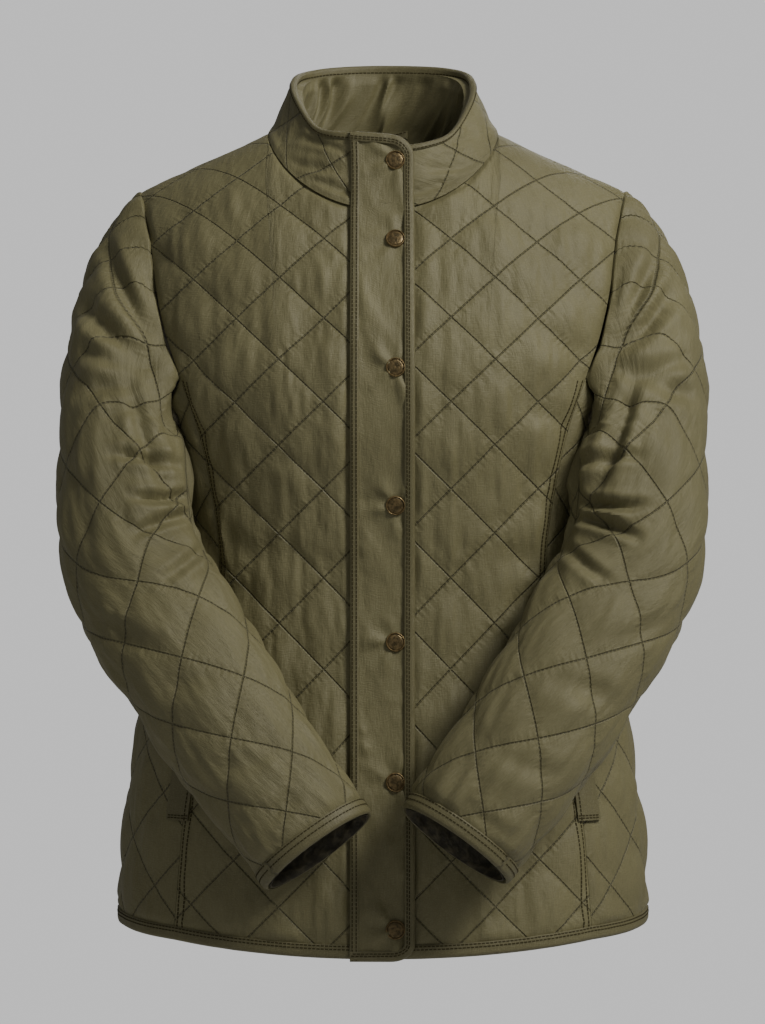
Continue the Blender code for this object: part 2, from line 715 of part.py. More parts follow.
def make_collar():
    """Outer collar, facing, rim binding and hanger loop."""
    foot, rim = COLLAR_FOOT, 1.0 - COLLAR_BINDING
    panel("collar_outer", collar_grid(foot, rim, COLLAR_ROWS), COLLAR_WALL, OLIVE_SHELL)
    depth = COLLAR_WALL + SEAM_GAP
    panel("collar_facing", collar_grid(foot, rim, COLLAR_ROWS), FACING_WALL, OLIVE_SHELL, depth=depth)
    whole = COLLAR_WALL + SEAM_GAP + FACING_WALL
    panel("collar_binding", collar_grid(rim + COLLAR_SEAM, 1.0, 1), whole, OLIVE_BINDING)
    turns = [lerp(LOOP_TURN, 360.0 - LOOP_TURN, i / LOOP_COLUMNS) for i in range(LOOP_COLUMNS + 1)]
    rows = []
    for rise in (LOOP_LOW, LOOP_HIGH):
        row = []
        for turn in turns:
            side = -1 if turn <= 180.0 else 1
            row.append(collar_sample(turn if turn <= 180.0 else 360.0 - turn, rise, side))
        rows.append(row)
    panel("hanger_loop", rows, LOOP_WALL, OLIVE_BINDING, depth=whole + SEAM_GAP)


# --- front band ----------------------------------------------------------------------------------------
def front_surface(across, height):
    """Point of the body's front at a distance from the middle and a height."""
    y = -(HALF_GAP + front_depth(height) * section_share(across, height))
    return Vector((across, y, height))


def centre_lengths():
    """Lengths along the centre front from the hem up, with the height at each."""
    count = 60
    heights = [lerp(HEM_FRONT, -FRONT_NECK_DROP, i / count) for i in range(count + 1)]
    lengths = [0.0]
    for below, above in zip(heights, heights[1:]):
        lengths.append(lengths[-1] + (front_surface(0.0, above) - front_surface(0.0, below)).length)
    return heights, lengths


CENTRE_HEIGHTS, CENTRE_LENGTHS = centre_lengths()
NECK_LENGTH = CENTRE_LENGTHS[-1]
COLLAR_LENGTH = (collar_point(0.0, 1.0) - collar_point(0.0, 0.0)).length


def closure_point(across, length):
    """Point of the closed front at a distance from the middle and a length up from the hem."""
    if length >= NECK_LENGTH:
        rise = (length - NECK_LENGTH) / COLLAR_LENGTH
        reach = lerp(NECK_X, math.degrees(1) * COLLAR_RIM[1].across / COLLAR_RIM[1].turn, min(rise, 1.0))
        return collar_point(math.degrees(across / reach), rise)
    if length < 0:
        return front_surface(across, HEM_FRONT) + Vector((0.0, 0.0, length))
    i = min(bisect_right(CENTRE_LENGTHS, length) - 1, len(CENTRE_LENGTHS) - 2)
    share = (length - CENTRE_LENGTHS[i]) / (CENTRE_LENGTHS[i + 1] - CENTRE_LENGTHS[i])
    return front_surface(across, lerp(CENTRE_HEIGHTS[i], CENTRE_HEIGHTS[i + 1], share))


def closure_sample(across, length):
    """Point and outward normal of the closed front. The normal is evened out over the neck's fold."""
    wide, long = 0.002, 0.006
    sideways = closure_point(across + wide, length) - closure_point(across - wide, length)
    up = closure_point(across, length + long) - closure_point(across, length - long)
    return closure_point(across, length), sideways.cross(up).normalized()


def lifted(grid, low, high):
    """Outer and inner points of a piece that lies on the garment, between two heights above it."""
    outer = [[closure_lift(cell, high) for cell in row] for row in grid]
    inner = [[closure_lift(cell, low) for cell in row] for row in grid]
    return outer, inner


def closure_lift(cell, height):
    """Point above the closed front at (across, length)."""
    point, normal = closure_sample(*cell)
    return point + normal * height


def band_top(across):
    """Length along the centre front where the band ends: falling slightly, with a rounded corner."""
    top = NECK_LENGTH + COLLAR_LENGTH - BAND_BINDING
    fall = BAND_TOP_DROP * (across - BAND_LEFT) / (BAND_RIGHT - BAND_LEFT)
    return top - fall - corner_drop(across)


def band_bottom(across):
    """Length along the centre front where the band starts."""
    return BAND_BINDING - BAND_FOOT + BOTTOM_CORNER_SHARE * corner_drop(across)


def corner_drop(across):
    """Distance that a rounded corner lies below a square one."""
    into = max(across - (BAND_RIGHT - BAND_CORNER), 0.0)
    return BAND_CORNER - math.sqrt(max(BAND_CORNER**2 - into**2, 0.0)) * CORNER_EASE


def band_cells():
    """The band's flat grid of (across, length)."""
    columns = [lerp(BAND_LEFT, BAND_RIGHT, i / BAND_COLUMNS) for i in range(BAND_COLUMNS)]
    columns += [BAND_RIGHT - BAND_CORNER * BAND_CORNER_COLUMN, BAND_RIGHT]
    grid = []
    for j in range(BAND_ROWS + 1):
        grid.append([(x, lerp(band_bottom(x), band_top(x), j / BAND_ROWS)) for x in columns])
    return grid


def binding_cells(cells):
    """The strip round the band's top, free side and bottom, as two flat lines of (across, length)."""
    top = [cell for cell in cells[-1]]
    side = [row[-1] for row in cells[1:-1]][::-1]
    bottom = cells[0][::-1]
    path = [Vector(cell) for cell in top + side + bottom]
    lines = ([], [])
    for i, here in enumerate(path):
        before, after = path[max(i - 1, 0)], path[min(i + 1, len(path) - 1)]
        along = (after - before).normalized()
        away = Vector((-along.y, along.x))
        lines[0].append(tuple(here + away * SEAM_GAP))
        lines[1].append(tuple(here + away * BAND_BINDING))
    return lines


def make_band():
    """The plain band over the centre front, its tape and its edge binding."""
    cells = band_cells()
    outer, inner = lifted(cells, BAND_LIFT, BAND_LIFT + PLAIN_WALL)
    wall("placket_band", outer, inner, OLIVE_SHELL)
    outer, inner = lifted(binding_cells(cells), BAND_LIFT, BAND_LIFT + BINDING_WALL)
    wall("placket_binding", outer, inner, OLIVE_BINDING)
    low = BAND_LIFT + PLAIN_WALL + SEAM_GAP
    tape = []
    for j in range(BAND_ROWS + 1):
        row = []
        for across in (BAND_LEFT, BAND_LEFT + TAPE_WIDTH):
            row.append((across, lerp(band_bottom(across), band_top(across), j / BAND_ROWS)))
        tape.append(row)
    outer, inner = lifted(tape, low, low + LINING_WALL)
    wall("placket_tape", outer, inner, OLIVE_BINDING)


# --- snaps ---------------------------------------------------------------------------------------------
Ring = namedtuple("Ring", "radius height")
CAP_PROFILE = (
    Ring(0.0050, 0.0014),
    Ring(0.0056, 0.0022),
    Ring(0.0066, 0.0024),
    Ring(0.0075, 0.0016),
    Ring(0.0076, 0.0000),
)
BACK_PROFILE = (Ring(0.0042, 0.0015), Ring(0.0052, 0.0008), Ring(0.0052, 0.0000))


def turned_button(name, profile, seat, axis, finish):
    """A round metal piece turned about an axis, standing on a seat point."""
    bm = bmesh.new()
    turn = axis.to_track_quat("Z", "Y")
    loops = []
    for ring in profile:
        made = bmesh.ops.create_circle(bm, cap_ends=False, segments=SNAP_SIDES, radius=ring.radius)
        bmesh.ops.translate(bm, verts=made["verts"], vec=(0.0, 0.0, ring.height))
        loops.append([edge for edge in bm.edges if edge.verts[0] in made["verts"]])
    for upper, lower in zip(loops, loops[1:]):
        bmesh.ops.bridge_loops(bm, edges=upper + lower)
    bmesh.ops.holes_fill(bm, edges=bm.edges, sides=SNAP_SIDES)
    bmesh.ops.rotate(bm, verts=bm.verts, cent=(0.0, 0.0, 0.0), matrix=turn.to_matrix())
    bmesh.ops.translate(bm, verts=bm.verts, vec=seat)
    bmesh.ops.triangulate(bm, faces=bm.faces)
    return add_object(name, bm, finish)


def snap_length(index):
    """Length up the centre front of a snap, counted from the hem."""
    return SNAP_FIRST + sum(SNAP_STEPS[:index])


def make_snaps():
    """Seven snaps: a cap on the band and a plain back inside the left front, counted from the collar."""
    for index in range(SNAP_COUNT):
        point, normal = closure_sample(SNAP_ACROSS, snap_length(index))
        number = SNAP_COUNT - index
        seat = point + normal * (BAND_LIFT + PLAIN_WALL + SNAP_SEAT)
        turned_button(f"snap_cap_{number}", CAP_PROFILE, seat, normal, AGED_BRASS)
        inside = COLLAR_WALL + SEAM_GAP + FACING_WALL if number == 1 else QUILT_WALL
        seat = point - normal * (inside + SNAP_SEAT)
        turned_button(f"snap_back_{number}", BACK_PROFILE, seat, -normal, AGED_BRASS)


# --- pockets -------------------------------------------------------------------------------------------
def make_welt(side, name):
    """A plain pocket welt on the front, along the princess seam."""
    columns, rows = 2, 8
    outer, inner = [], []
    for j in range(rows + 1):
        height = lerp(WELT_BOTTOM, WELT_TOP, j / rows)
        offset = front_edge(height) - front_edge(WELT_BOTTOM)
        line_outer, line_inner = [], []
        for i in range(columns + 1):
            across = lerp(WELT_INNER, WELT_OUTER, i / columns) + offset
            point = front_surface(across, height)
            beside = front_surface(across + FACE_STEP, height) - point
            above = front_surface(across, height + FACE_STEP) - point
            normal = beside.cross(above).normalized()
            line_inner.append(mirrored(point + normal * WELT_LIFT, side))
            line_outer.append(mirrored(point + normal * (WELT_LIFT + WELT_WALL), side))
        outer.append(line_outer)
        inner.append(line_inner)
    wall(f"pocket_welt_{name}", outer, inner, OLIVE_BINDING)


def main():
    """Empty the scene and build every piece."""
    for thing in list(bpy.data.objects):
        bpy.data.objects.remove(thing)
    make_body()
    for side, name in ((-1, "right"), (1, "left")):
        make_sleeve(side, name)
        make_welt(side, name)
    make_collar()
    make_band()
    make_snaps()


main()
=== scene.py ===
"""The looks of a quilted jacket with a stand collar, worn and hollow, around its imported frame.

Metres, +Z up. The wearer faces -Y and the wearer's right is -X. Every cloth piece is a thin shell that
lies on the form of its own solid. The quilting, the creases and the edges are modelled on it.
"""

import json
import logging
import math
from dataclasses import dataclass, field
from enum import Enum
from typing import Callable, ClassVar, NamedTuple, Optional, Sequence

import bmesh
import bpy
import numpy as np
from mathutils import Matrix, Vector

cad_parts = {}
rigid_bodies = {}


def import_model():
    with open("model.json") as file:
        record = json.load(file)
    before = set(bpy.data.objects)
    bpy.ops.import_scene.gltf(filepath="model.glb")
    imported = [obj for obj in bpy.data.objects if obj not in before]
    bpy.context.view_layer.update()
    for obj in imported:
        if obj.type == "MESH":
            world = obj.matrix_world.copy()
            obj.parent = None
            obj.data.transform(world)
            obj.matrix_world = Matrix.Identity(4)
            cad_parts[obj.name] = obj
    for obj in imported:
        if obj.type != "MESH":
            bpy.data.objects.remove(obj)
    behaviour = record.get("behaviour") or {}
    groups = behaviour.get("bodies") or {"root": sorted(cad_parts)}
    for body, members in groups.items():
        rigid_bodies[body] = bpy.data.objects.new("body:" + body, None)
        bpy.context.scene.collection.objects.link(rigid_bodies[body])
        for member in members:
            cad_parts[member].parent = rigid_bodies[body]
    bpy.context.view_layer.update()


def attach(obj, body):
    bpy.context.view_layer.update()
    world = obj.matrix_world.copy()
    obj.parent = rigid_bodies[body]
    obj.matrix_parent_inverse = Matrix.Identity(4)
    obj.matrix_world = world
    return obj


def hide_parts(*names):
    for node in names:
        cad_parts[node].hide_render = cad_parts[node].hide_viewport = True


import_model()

Array = np.ndarray
Colour = tuple[float, float, float, float]
Curve = Callable[[Array], Array]
Place = tuple[float, float, float]
log = logging.getLogger("jacket")

SEAM_GAP = 0.0003
HALF_GAP = SEAM_GAP / 2
FACE_STEP = 1e-4
SIDE_NAMES = {-1: "right", 1: "left"}
INNER_EDGES = {-1: 0.0195, 1: -0.0120}


class Slot(Enum):
    """The record's material slots."""

    QUILTED = "quilted_cloth"
    PLAIN = "plain_cloth"
    BINDING = "binding"
    LINING = "lining"
    BRASS = "brass"


class Hold(Enum):
    """How a cloth piece is held."""

    DRAPED = "draped"
    LAID = "laid"


# --- tables ---
class Section(NamedTuple):
    """A level section of the body."""

    height: float
    half_width: float
    front_depth: float
    back_depth: float


class FrontEdge(NamedTuple):
    """How far out a front's outer edge lies at a height."""

    height: float
    across: float


class BackEdge(NamedTuple):
    """The angle that the back's armhole edge is turned from the side at a height."""

    height: float
    angle: float


class Rim(NamedTuple):
    """A point of the collar's rim at a turn from the front."""

    turn: float
    across: float
    depth: float
    height: float


class UnderRim(NamedTuple):
    """How high the covered side's rim stands at a turn, as a share of the full height."""

    turn: float
    share: float


class Arm(NamedTuple):
    """A section of the sleeve: its centre, its outer direction and its half sizes."""

    along: float
    x: float
    y: float
    z: float
    out_x: float
    out_y: float
    out_z: float
    half_out: float
    half_front: float


class QuiltRow(NamedTuple):
    """The number of the row of stitch crossings at a height."""

    height: float
    row: float


class Crease(NamedTuple):
    """A crease from one point to another, in distances out from the middle and heights.

    A positive depth is a trough, a negative one a ridge. The bow is how far its middle strays.
    """

    out: float
    height: float
    out_end: float
    height_end: float
    depth: float
    width: float
    bow: float


BODY_SECTIONS = (
    Section(-0.660, 0.2170, 0.1220, 0.1250),
    Section(-0.610, 0.2155, 0.1200, 0.1240),
    Section(-0.560, 0.2120, 0.1165, 0.1210),
    Section(-0.500, 0.2055, 0.1110, 0.1130),
    Section(-0.430, 0.1950, 0.1060, 0.1000),
    Section(-0.360, 0.1835, 0.1040, 0.0930),
    Section(-0.290, 0.1790, 0.1130, 0.1010),
    Section(-0.235, 0.1870, 0.1220, 0.1110),
    Section(-0.180, 0.1980, 0.1200, 0.1170),
    Section(-0.120, 0.2060, 0.1040, 0.1130),
    Section(-0.060, 0.2080, 0.0800, 0.1000),
    Section(0.000, 0.2080, 0.0640, 0.0920),
    Section(0.040, 0.2080, 0.0560, 0.0860),
)
FRONT_EDGE = (
    FrontEdge(-0.660, 0.1680),
    FrontEdge(-0.600, 0.1640),
    FrontEdge(-0.530, 0.1575),
    FrontEdge(-0.460, 0.1450),
    FrontEdge(-0.390, 0.1330),
    FrontEdge(-0.330, 0.1310),
    FrontEdge(-0.280, 0.1380),
    FrontEdge(-0.235, 0.1480),
    FrontEdge(-0.195, 0.1620),
    FrontEdge(-0.163, 0.1735),
    FrontEdge(-0.126, 0.1825),
    FrontEdge(-0.080, 0.1890),
    FrontEdge(-0.0385, 0.1980),
)
BACK_ARMHOLE = (
    BackEdge(-0.235, 0.0),
    BackEdge(-0.228, 15.0),
    BackEdge(-0.210, 27.0),
    BackEdge(-0.175, 35.0),
    BackEdge(-0.130, 36.0),
    BackEdge(-0.085, 30.0),
    BackEdge(-0.0385, 19.0),
)
COLLAR_RIM = (
    Rim(0.0, 0.0000, -0.0700, 0.0035),
    Rim(25.0, 0.0350, -0.0670, 0.0035),
    Rim(42.0, 0.0535, -0.0540, 0.0090),
    Rim(62.0, 0.0680, -0.0300, 0.0310),
    Rim(90.0, 0.0745, 0.0050, 0.0540),
    Rim(135.0, 0.0560, 0.0450, 0.0680),
    Rim(180.0, 0.0000, 0.0620, 0.0735),
)
UNDER_COLLAR_RIM = (
    UnderRim(-10.0, 0.78),
    UnderRim(15.0, 0.83),
    UnderRim(45.0, 0.90),
    UnderRim(75.0, 0.96),
    UnderRim(90.0, 1.00),
    UnderRim(180.0, 1.00),
)
SLEEVE_SECTIONS = (
    Arm(0.00, 0.1880, 0.0000, -0.1370, 0.15, 0.00, 0.99, 0.0980, 0.0680),
    Arm(0.08, 0.1970, -0.0010, -0.1480, 0.60, 0.00, 0.80, 0.0880, 0.0690),
    Arm(0.18, 0.2010, -0.0150, -0.1760, 0.90, 0.28, 0.33, 0.0660, 0.0680),
    Arm(0.30, 0.2040, -0.0440, -0.2250, 0.90, 0.42, 0.08, 0.0550, 0.0580),
    Arm(0.43, 0.2045, -0.0750, -0.2860, 0.92, 0.36, -0.12, 0.0555, 0.0520),
    Arm(0.54, 0.1970, -0.0940, -0.3400, 0.80, 0.10, -0.59, 0.0545, 0.0490),
    Arm(0.63, 0.1790, -0.1080, -0.3760, 0.79, -0.10, -0.62, 0.0575, 0.0480),
    Arm(0.74, 0.1500, -0.1290, -0.4220, 0.79, -0.05, -0.62, 0.0560, 0.0450),
    Arm(0.85, 0.1130, -0.1470, -0.4780, 0.79, 0.00, -0.62, 0.0540, 0.0420),
    Arm(0.93, 0.0830, -0.1570, -0.5180, 0.80, 0.00, -0.60, 0.0515, 0.0385),
    Arm(1.00, 0.0520, -0.1645, -0.5600, 0.81, 0.00, -0.58, 0.0500, 0.0350),
)
QUILT_ROWS = (
    QuiltRow(-0.660, 16.4),
    QuiltRow(-0.611, 15.0),
    QuiltRow(-0.575, 14.0),
    QuiltRow(-0.425, 10.0),
    QuiltRow(-0.181, 3.0),
    QuiltRow(-0.0842, 0.0),
    QuiltRow(-0.056, -1.0),
    QuiltRow(0.040, -4.2),
)

FRONT_CREASES = (
    Crease(0.168, -0.190, 0.118, -0.142, 0.0022, 0.0100, 0.004),
    Crease(0.150, -0.236, 0.098, -0.205, 0.0016, 0.0110, -0.004),
    Crease(0.136, -0.318, 0.066, -0.344, 0.0018, 0.0120, 0.005),
    Crease(0.130, -0.372, 0.078, -0.352, 0.0014, 0.0110, 0.003),
    Crease(0.094, -0.052, 0.132, -0.122, 0.0016, 0.0140, 0.006),
    Crease(0.052, -0.098, 0.045, -0.260, 0.0014, 0.0130, 0.004),
    Crease(0.112, -0.640, 0.098, -0.500, 0.0024, 0.0160, 0.004),
    Crease(0.058, -0.646, 0.066, -0.560, 0.0016, 0.0140, -0.003),
    Crease(0.148, -0.560, 0.140, -0.440, 0.0016, 0.0120, 0.003),
)
BACK_CREASES = (
    Crease(0.170, -0.110, 0.128, -0.235, 0.0049, 0.0110, 0.006),
    Crease(0.182, -0.215, 0.110, -0.285, 0.0035, 0.0101, -0.005),
    Crease(0.060, -0.060, 0.074, -0.215, 0.0027, 0.0156, 0.006),
    Crease(0.018, -0.300, 0.128, -0.338, 0.0046, 0.0110, 0.007),
    Crease(0.004, -0.352, 0.104, -0.366, 0.0035, 0.0101, -0.005),
    Crease(0.030, -0.392, 0.142, -0.402, 0.0030, 0.0120, 0.006),
    Crease(0.072, -0.640, 0.060, -0.470, 0.0049, 0.0175, 0.007),
    Crease(0.132, -0.636, 0.118, -0.520, 0.0038, 0.0147, -0.004),
)
COLLAR_CREASES = (
    Crease(0.026, -0.012, 0.074, 0.004, 0.0022, 0.0036, 0.003),
    Crease(0.030, -0.026, 0.082, -0.018, 0.0018, 0.0040, -0.003),
    Crease(0.024, -0.041, 0.070, -0.032, 0.0024, 0.0038, 0.002),
    Crease(0.026, -0.052, 0.060, -0.046, 0.0016, 0.0034, -0.002),
    Crease(0.060, 0.012, 0.076, -0.010, 0.0016, 0.0040, 0.002),
)
SLEEVE_FRONT_CREASES = (
    Crease(0.224, -0.082, 0.178, -0.166, 0.0060, 0.0064, 0.004),
    Crease(0.240, -0.122, 0.181, -0.174, 0.0068, 0.0074, 0.006),
    Crease(0.248, -0.170, 0.184, -0.184, 0.0062, 0.0069, 0.005),
    Crease(0.249, -0.218, 0.186, -0.200, 0.0052, 0.0074, -0.004),
    Crease(0.205, -0.185, 0.166, -0.285, 0.0065, 0.0055, 0.004),
    Crease(0.148, -0.268, 0.212, -0.256, 0.0052, 0.0044, 0.003),
    Crease(0.146, -0.286, 0.206, -0.290, 0.0065, 0.0042, -0.003),
    Crease(0.144, -0.304, 0.198, -0.322, 0.0055, 0.0042, 0.003),
    Crease(0.142, -0.324, 0.176, -0.352, 0.0039, 0.0046, -0.002),
    Crease(0.246, -0.272, 0.222, -0.338, 0.0029, 0.0101, 0.004),
    Crease(0.228, -0.372, 0.164, -0.402, 0.0031, 0.0083, 0.004),
    Crease(0.182, -0.446, 0.122, -0.430, 0.0026, 0.0083, -0.004),
    Crease(0.140, -0.500, 0.082, -0.482, 0.0023, 0.0074, 0.003),
    Crease(0.104, -0.548, 0.062, -0.516, 0.0021, 0.0064, 0.002),
)
SLEEVE_BACK_CREASES = (
    Crease(0.222, -0.092, 0.184, -0.176, 0.0052, 0.0083, 0.005),
    Crease(0.246, -0.150, 0.190, -0.208, 0.0057, 0.0078, -0.005),
    Crease(0.250, -0.214, 0.196, -0.252, 0.0047, 0.0074, 0.004),
    Crease(0.252, -0.290, 0.196, -0.300, 0.0039, 0.0074, 0.003),
    Crease(0.248, -0.336, 0.178, -0.342, 0.0044, 0.0074, -0.004),
    Crease(0.220, -0.388, 0.148, -0.382, 0.0034, 0.0083, 0.004),
    Crease(0.176, -0.452, 0.106, -0.440, 0.0029, 0.0083, 0.003),
    Crease(0.130, -0.520, 0.076, -0.494, 0.0023, 0.0074, -0.003),
)


# --- numbers ---
def lerp(first: Array, last: Array, share: Array) -> Array:
    """Return the value that lies the given share of the way from first to last."""
    return first + (last - first) * share


def ease(share: Array) -> Array:
    """Turn a share into a smooth step from 0 to 1."""
    share = np.clip(share, 0.0, 1.0)
    return share * share * (3 - 2 * share)


def column_curve(rows: Sequence[NamedTuple], column: str, flat_end: bool = False) -> Curve:
    """Make a smooth curve through one column of a table.

    Args:
        rows: The table, sorted by its first column.
        column: The name of the column to follow.
        flat_end: Whether the curve runs level at the last row.

    Returns:
        A function of the first column that works on arrays.
    """
    keys = np.array([row[0] for row in rows])
    values = np.array([getattr(row, column) for row in rows])
    runs = np.diff(values) / np.diff(keys)
    slopes = np.concatenate([runs[:1], (runs[:-1] + runs[1:]) / 2, runs[-1:] * (not flat_end)])

    def value(key: Array) -> Array:
        """Return the curve's value at a key."""
        key = np.clip(key, keys[0], keys[-1])
        i = np.clip(np.searchsorted(keys, key, side="right") - 1, 0, len(keys) - 2)
        width = keys[i + 1] - keys[i]
        t = (key - keys[i]) / width
        rise = (2 * t**3 - 3 * t**2 + 1) * values[i] + (3 * t**2 - 2 * t**3) * values[i + 1]
        bend = (t**3 - 2 * t**2 + t) * slopes[i] + (t**3 - t**2) * slopes[i + 1]
        return rise + bend * width

    return value


def stacked(x: Array, y: Array, z: Array) -> Array:
    """Join three arrays of coordinates into one array of points."""
    return np.stack(np.broadcast_arrays(x, y, z), axis=-1)


def unit(vectors: Array) -> Array:
    """Scale vectors to a length of one."""
    length = np.linalg.norm(vectors, axis=-1, keepdims=True)
    return vectors / np.maximum(length, 1e-12)


def run_lengths(points: Array, axis: int) -> Array:
    """Measure the distance run along a grid's rows or columns.

    Args:
        points: A grid of points, rows by columns by three.
        axis: 0 to run up the columns, 1 to run along the rows.

    Returns:
        The distance from the first row or column to each point.
    """
    steps = np.linalg.norm(np.diff(points, axis=axis), axis=-1)
    start = np.zeros_like(steps.take([0], axis=axis))
    return np.concatenate([start, np.cumsum(steps, axis=axis)], axis=axis)


def grid_normals(points: Array, middle: Array, closed: bool = False) -> Array:
    """Find the outward normals of a grid of points.

    Args:
        points: A grid of points.
        middle: Points inside the form, one for each point or one for all.
        closed: Whether the last column repeats the first.

    Returns:
        A unit normal for each point, pointing away from the middle.
    """
    around = np.gradient(points, axis=1)
    if closed:
        around[:, 0] = around[:, -1] = (points[:, 1] - points[:, -2]) / 2
    normals = unit(np.cross(around, np.gradient(points, axis=0)))
    outwards = np.sum(normals * (points - middle))
    return normals if outwards > 0 else -normals


def evened(vectors: Array, times: int) -> Array:
    """Average unit vectors with their neighbours on an open grid.

    Args:
        vectors: A grid of unit vectors.
        times: How many times to average.

    Returns:
        The evened unit vectors.
    """
    for _ in range(times):
        wide = np.pad(vectors, ((1, 1), (1, 1), (0, 0)), mode="edge")
        beside = wide[1:-1, :-2] + wide[1:-1, 2:] + wide[:-2, 1:-1] + wide[2:, 1:-1]
        vectors = unit(vectors * 2 + beside)
    return vectors


def swelled(share: Array) -> Array:
    """Rise from 0 at both ends of a width to a broad 1 in its middle."""
    return np.sqrt(np.maximum(1 - (2 * share - 1) ** 4, 0.0))


def soft_noise(x: Array, y: Array, seed: int) -> Array:
    """Smooth noise from -1 to 1 whose lumps are about one unit wide.

    Args:
        x: First coordinate, in lumps.
        y: Second coordinate, in lumps.
        seed: Which pattern to use.

    Returns:
        The noise at each point.
    """
    size = 64
    lattice = np.random.default_rng(seed).uniform(-1.0, 1.0, (size, size))
    column, row = np.floor(x).astype(int), np.floor(y).astype(int)
    over, up = ease(x - column), ease(y - row)

    def corner(right: int, above: int) -> Array:
        """Read the lattice at a corner of each cell."""
        return lattice[(column + right) % size, (row + above) % size]

    low = lerp(corner(0, 0), corner(1, 0), over)
    high = lerp(corner(0, 1), corner(1, 1), over)
    return lerp(low, high, up)


def sized_noise(x: Array, y: Array, size: tuple[float, float], seed: int) -> Array:
    """Smooth noise whose waves are about size long."""
    return soft_noise(x / size[0], y / size[1], seed)


def crease_relief(creases: Sequence[Crease], out: Array, height: Array, seed: int) -> Array:
    """Add up the troughs and ridges of a list of creases.

    Args:
        creases: The creases.
        out: Distance out from the middle at each point.
        height: Height at each point.
        seed: Makes each side's creases stray a little in their own way.

    Returns:
        How far each point moves outwards.
    """
    relief = np.zeros(np.broadcast(out, height).shape)
    chance = np.random.default_rng(seed)
    stray, bank_height, bank_place = 0.006, 0.45, 1.8
    for crease in creases:
        shift = chance.uniform(-stray, stray, 2)
        run_out, run_up = crease.out_end - crease.out, crease.height_end - crease.height
        length = math.hypot(run_out, run_up)
        way_out, way_up = run_out / length, run_up / length
        from_out, from_up = out - crease.out - shift[0], height - crease.height - shift[1]
        run = (from_out * way_out + from_up * way_up) / length
        bow = crease.bow * 4 * run * (1 - run)
        off = (from_up * way_out - from_out * way_up - bow) / crease.width
        fade = np.sin(math.pi * np.clip(run, 0.0, 1.0)) ** 0.8
        trough = np.exp(-(off**2))
        banks = bank_height * (np.exp(-((off - bank_place) ** 2)) + np.exp(-((off + bank_place) ** 2)))
        relief += crease.depth * chance.uniform(0.8, 1.15) * fade * (banks - trough)
    return relief


# --- finishes ---
class Bench:
    """A material's node tree with short ways to add and join its nodes."""

    def __init__(self, name: str, roughness: float, metallic: float = 0.0) -> None:
        """Start a material.

        Args:
            name: The material's name.
            roughness: The shader's roughness.
            metallic: The shader's metallic value.
        """
        self.material = bpy.data.materials.new(name)
        self.material.use_nodes = True
        self.tree = self.material.node_tree
        self.shader = self.tree.nodes["Principled BSDF"]
        self.set(Roughness=roughness, Metallic=metallic)

    def put(self, socket: bpy.types.NodeSocket, value: object) -> None:
        """Link a socket to another, or set its value."""
        if isinstance(value, bpy.types.NodeSocket):
            self.tree.links.new(value, socket)
        else:
            socket.default_value = value

    def node(self, kind: str, **settings: object) -> bpy.types.Node:
        """Add a node and set its properties."""
        made = self.tree.nodes.new(kind)
        for name, value in settings.items():
            setattr(made, name, value)
        return made

    def math(self, operation: str, first: object, second: object = 0.0, third: object = 0.0) -> object:
        """Add a Math node and return its result."""
        made = self.node("ShaderNodeMath", operation=operation)
        for socket, value in zip(made.inputs, (first, second, third)):
            self.put(socket, value)
        return made.outputs[0]

    def times(self, first: object, second: object) -> object:
        """Multiply two values."""
        return self.math("MULTIPLY", first, second)

    def parts(self, where: object) -> tuple[object, object]:
        """Split a vector into its first two parts."""
        made = self.node("ShaderNodeSeparateXYZ")
        self.put(made.inputs[0], where)
        return made.outputs[0], made.outputs[1]

    def noise(self, where: object, scale: float, detail: float = 2.0, stretch: float = 1.0) -> object:
        """Add noise at a place and return its value, stretched along the second coordinate."""
        if stretch != 1.0:
            where = self.scaled(where, (1.0, stretch, 1.0))
        made = self.node("ShaderNodeTexNoise")
        self.put(made.inputs["Vector"], where)
        made.inputs["Scale"].default_value = scale
        made.inputs["Detail"].default_value = detail
        return made.outputs["Fac"]

    def scaled(self, where: object, scale: Place) -> object:
        """Scale a vector."""
        made = self.node("ShaderNodeMapping")
        self.put(made.inputs["Vector"], where)
        made.inputs["Scale"].default_value = scale
        return made.outputs[0]

    def object_place(self) -> object:
        """The place on the piece itself."""
        return self.node("ShaderNodeTexCoord").outputs["Object"]

    def cloth_map(self, name: str) -> object:
        """The vector of one of the piece's own maps."""
        return self.node("ShaderNodeUVMap", uv_map=name).outputs[0]

    def span(self, value: object, low: float, high: float) -> object:
        """Spread the values between low and high over 0 to 1, smoothly."""
        made = self.node("ShaderNodeMapRange", interpolation_type="SMOOTHSTEP")
        self.put(made.inputs["Value"], value)
        made.inputs["From Min"].default_value = low
        made.inputs["From Max"].default_value = high
        return made.outputs[0]

    def mix(self, share: object, first: object, second: object) -> object:
        """Mix two colours."""
        made = self.node("ShaderNodeMix", data_type="RGBA")
        self.put(made.inputs[0], share)
        self.put(made.inputs[6], first)
        self.put(made.inputs[7], second)
        return made.outputs[2]

    def bump(self, height: object, distance: float, strength: float = 1.0, under: object = None) -> object:
        """Add a Bump node and return its normal."""
        made = self.node("ShaderNodeBump")
        self.put(made.inputs["Height"], height)
        made.inputs["Distance"].default_value = distance
        made.inputs["Strength"].default_value = strength
        if under is not None:
            self.put(made.inputs["Normal"], under)
        return made.outputs[0]

    def set(self, **values: object) -> None:
        """Set the shader's own constant values, named with underscores for spaces."""
        for name, value in values.items():
            self.shader.inputs[name.replace("_", " ")].default_value = value

    def dressed(self, colour: object, normal: object = None) -> bpy.types.Material:
        """Join the colour and the normal to the shader and return the material."""
        self.put(self.shader.inputs["Base Color"], colour)
        if normal is not None:
            self.put(self.shader.inputs["Normal"], normal)
        return self.material


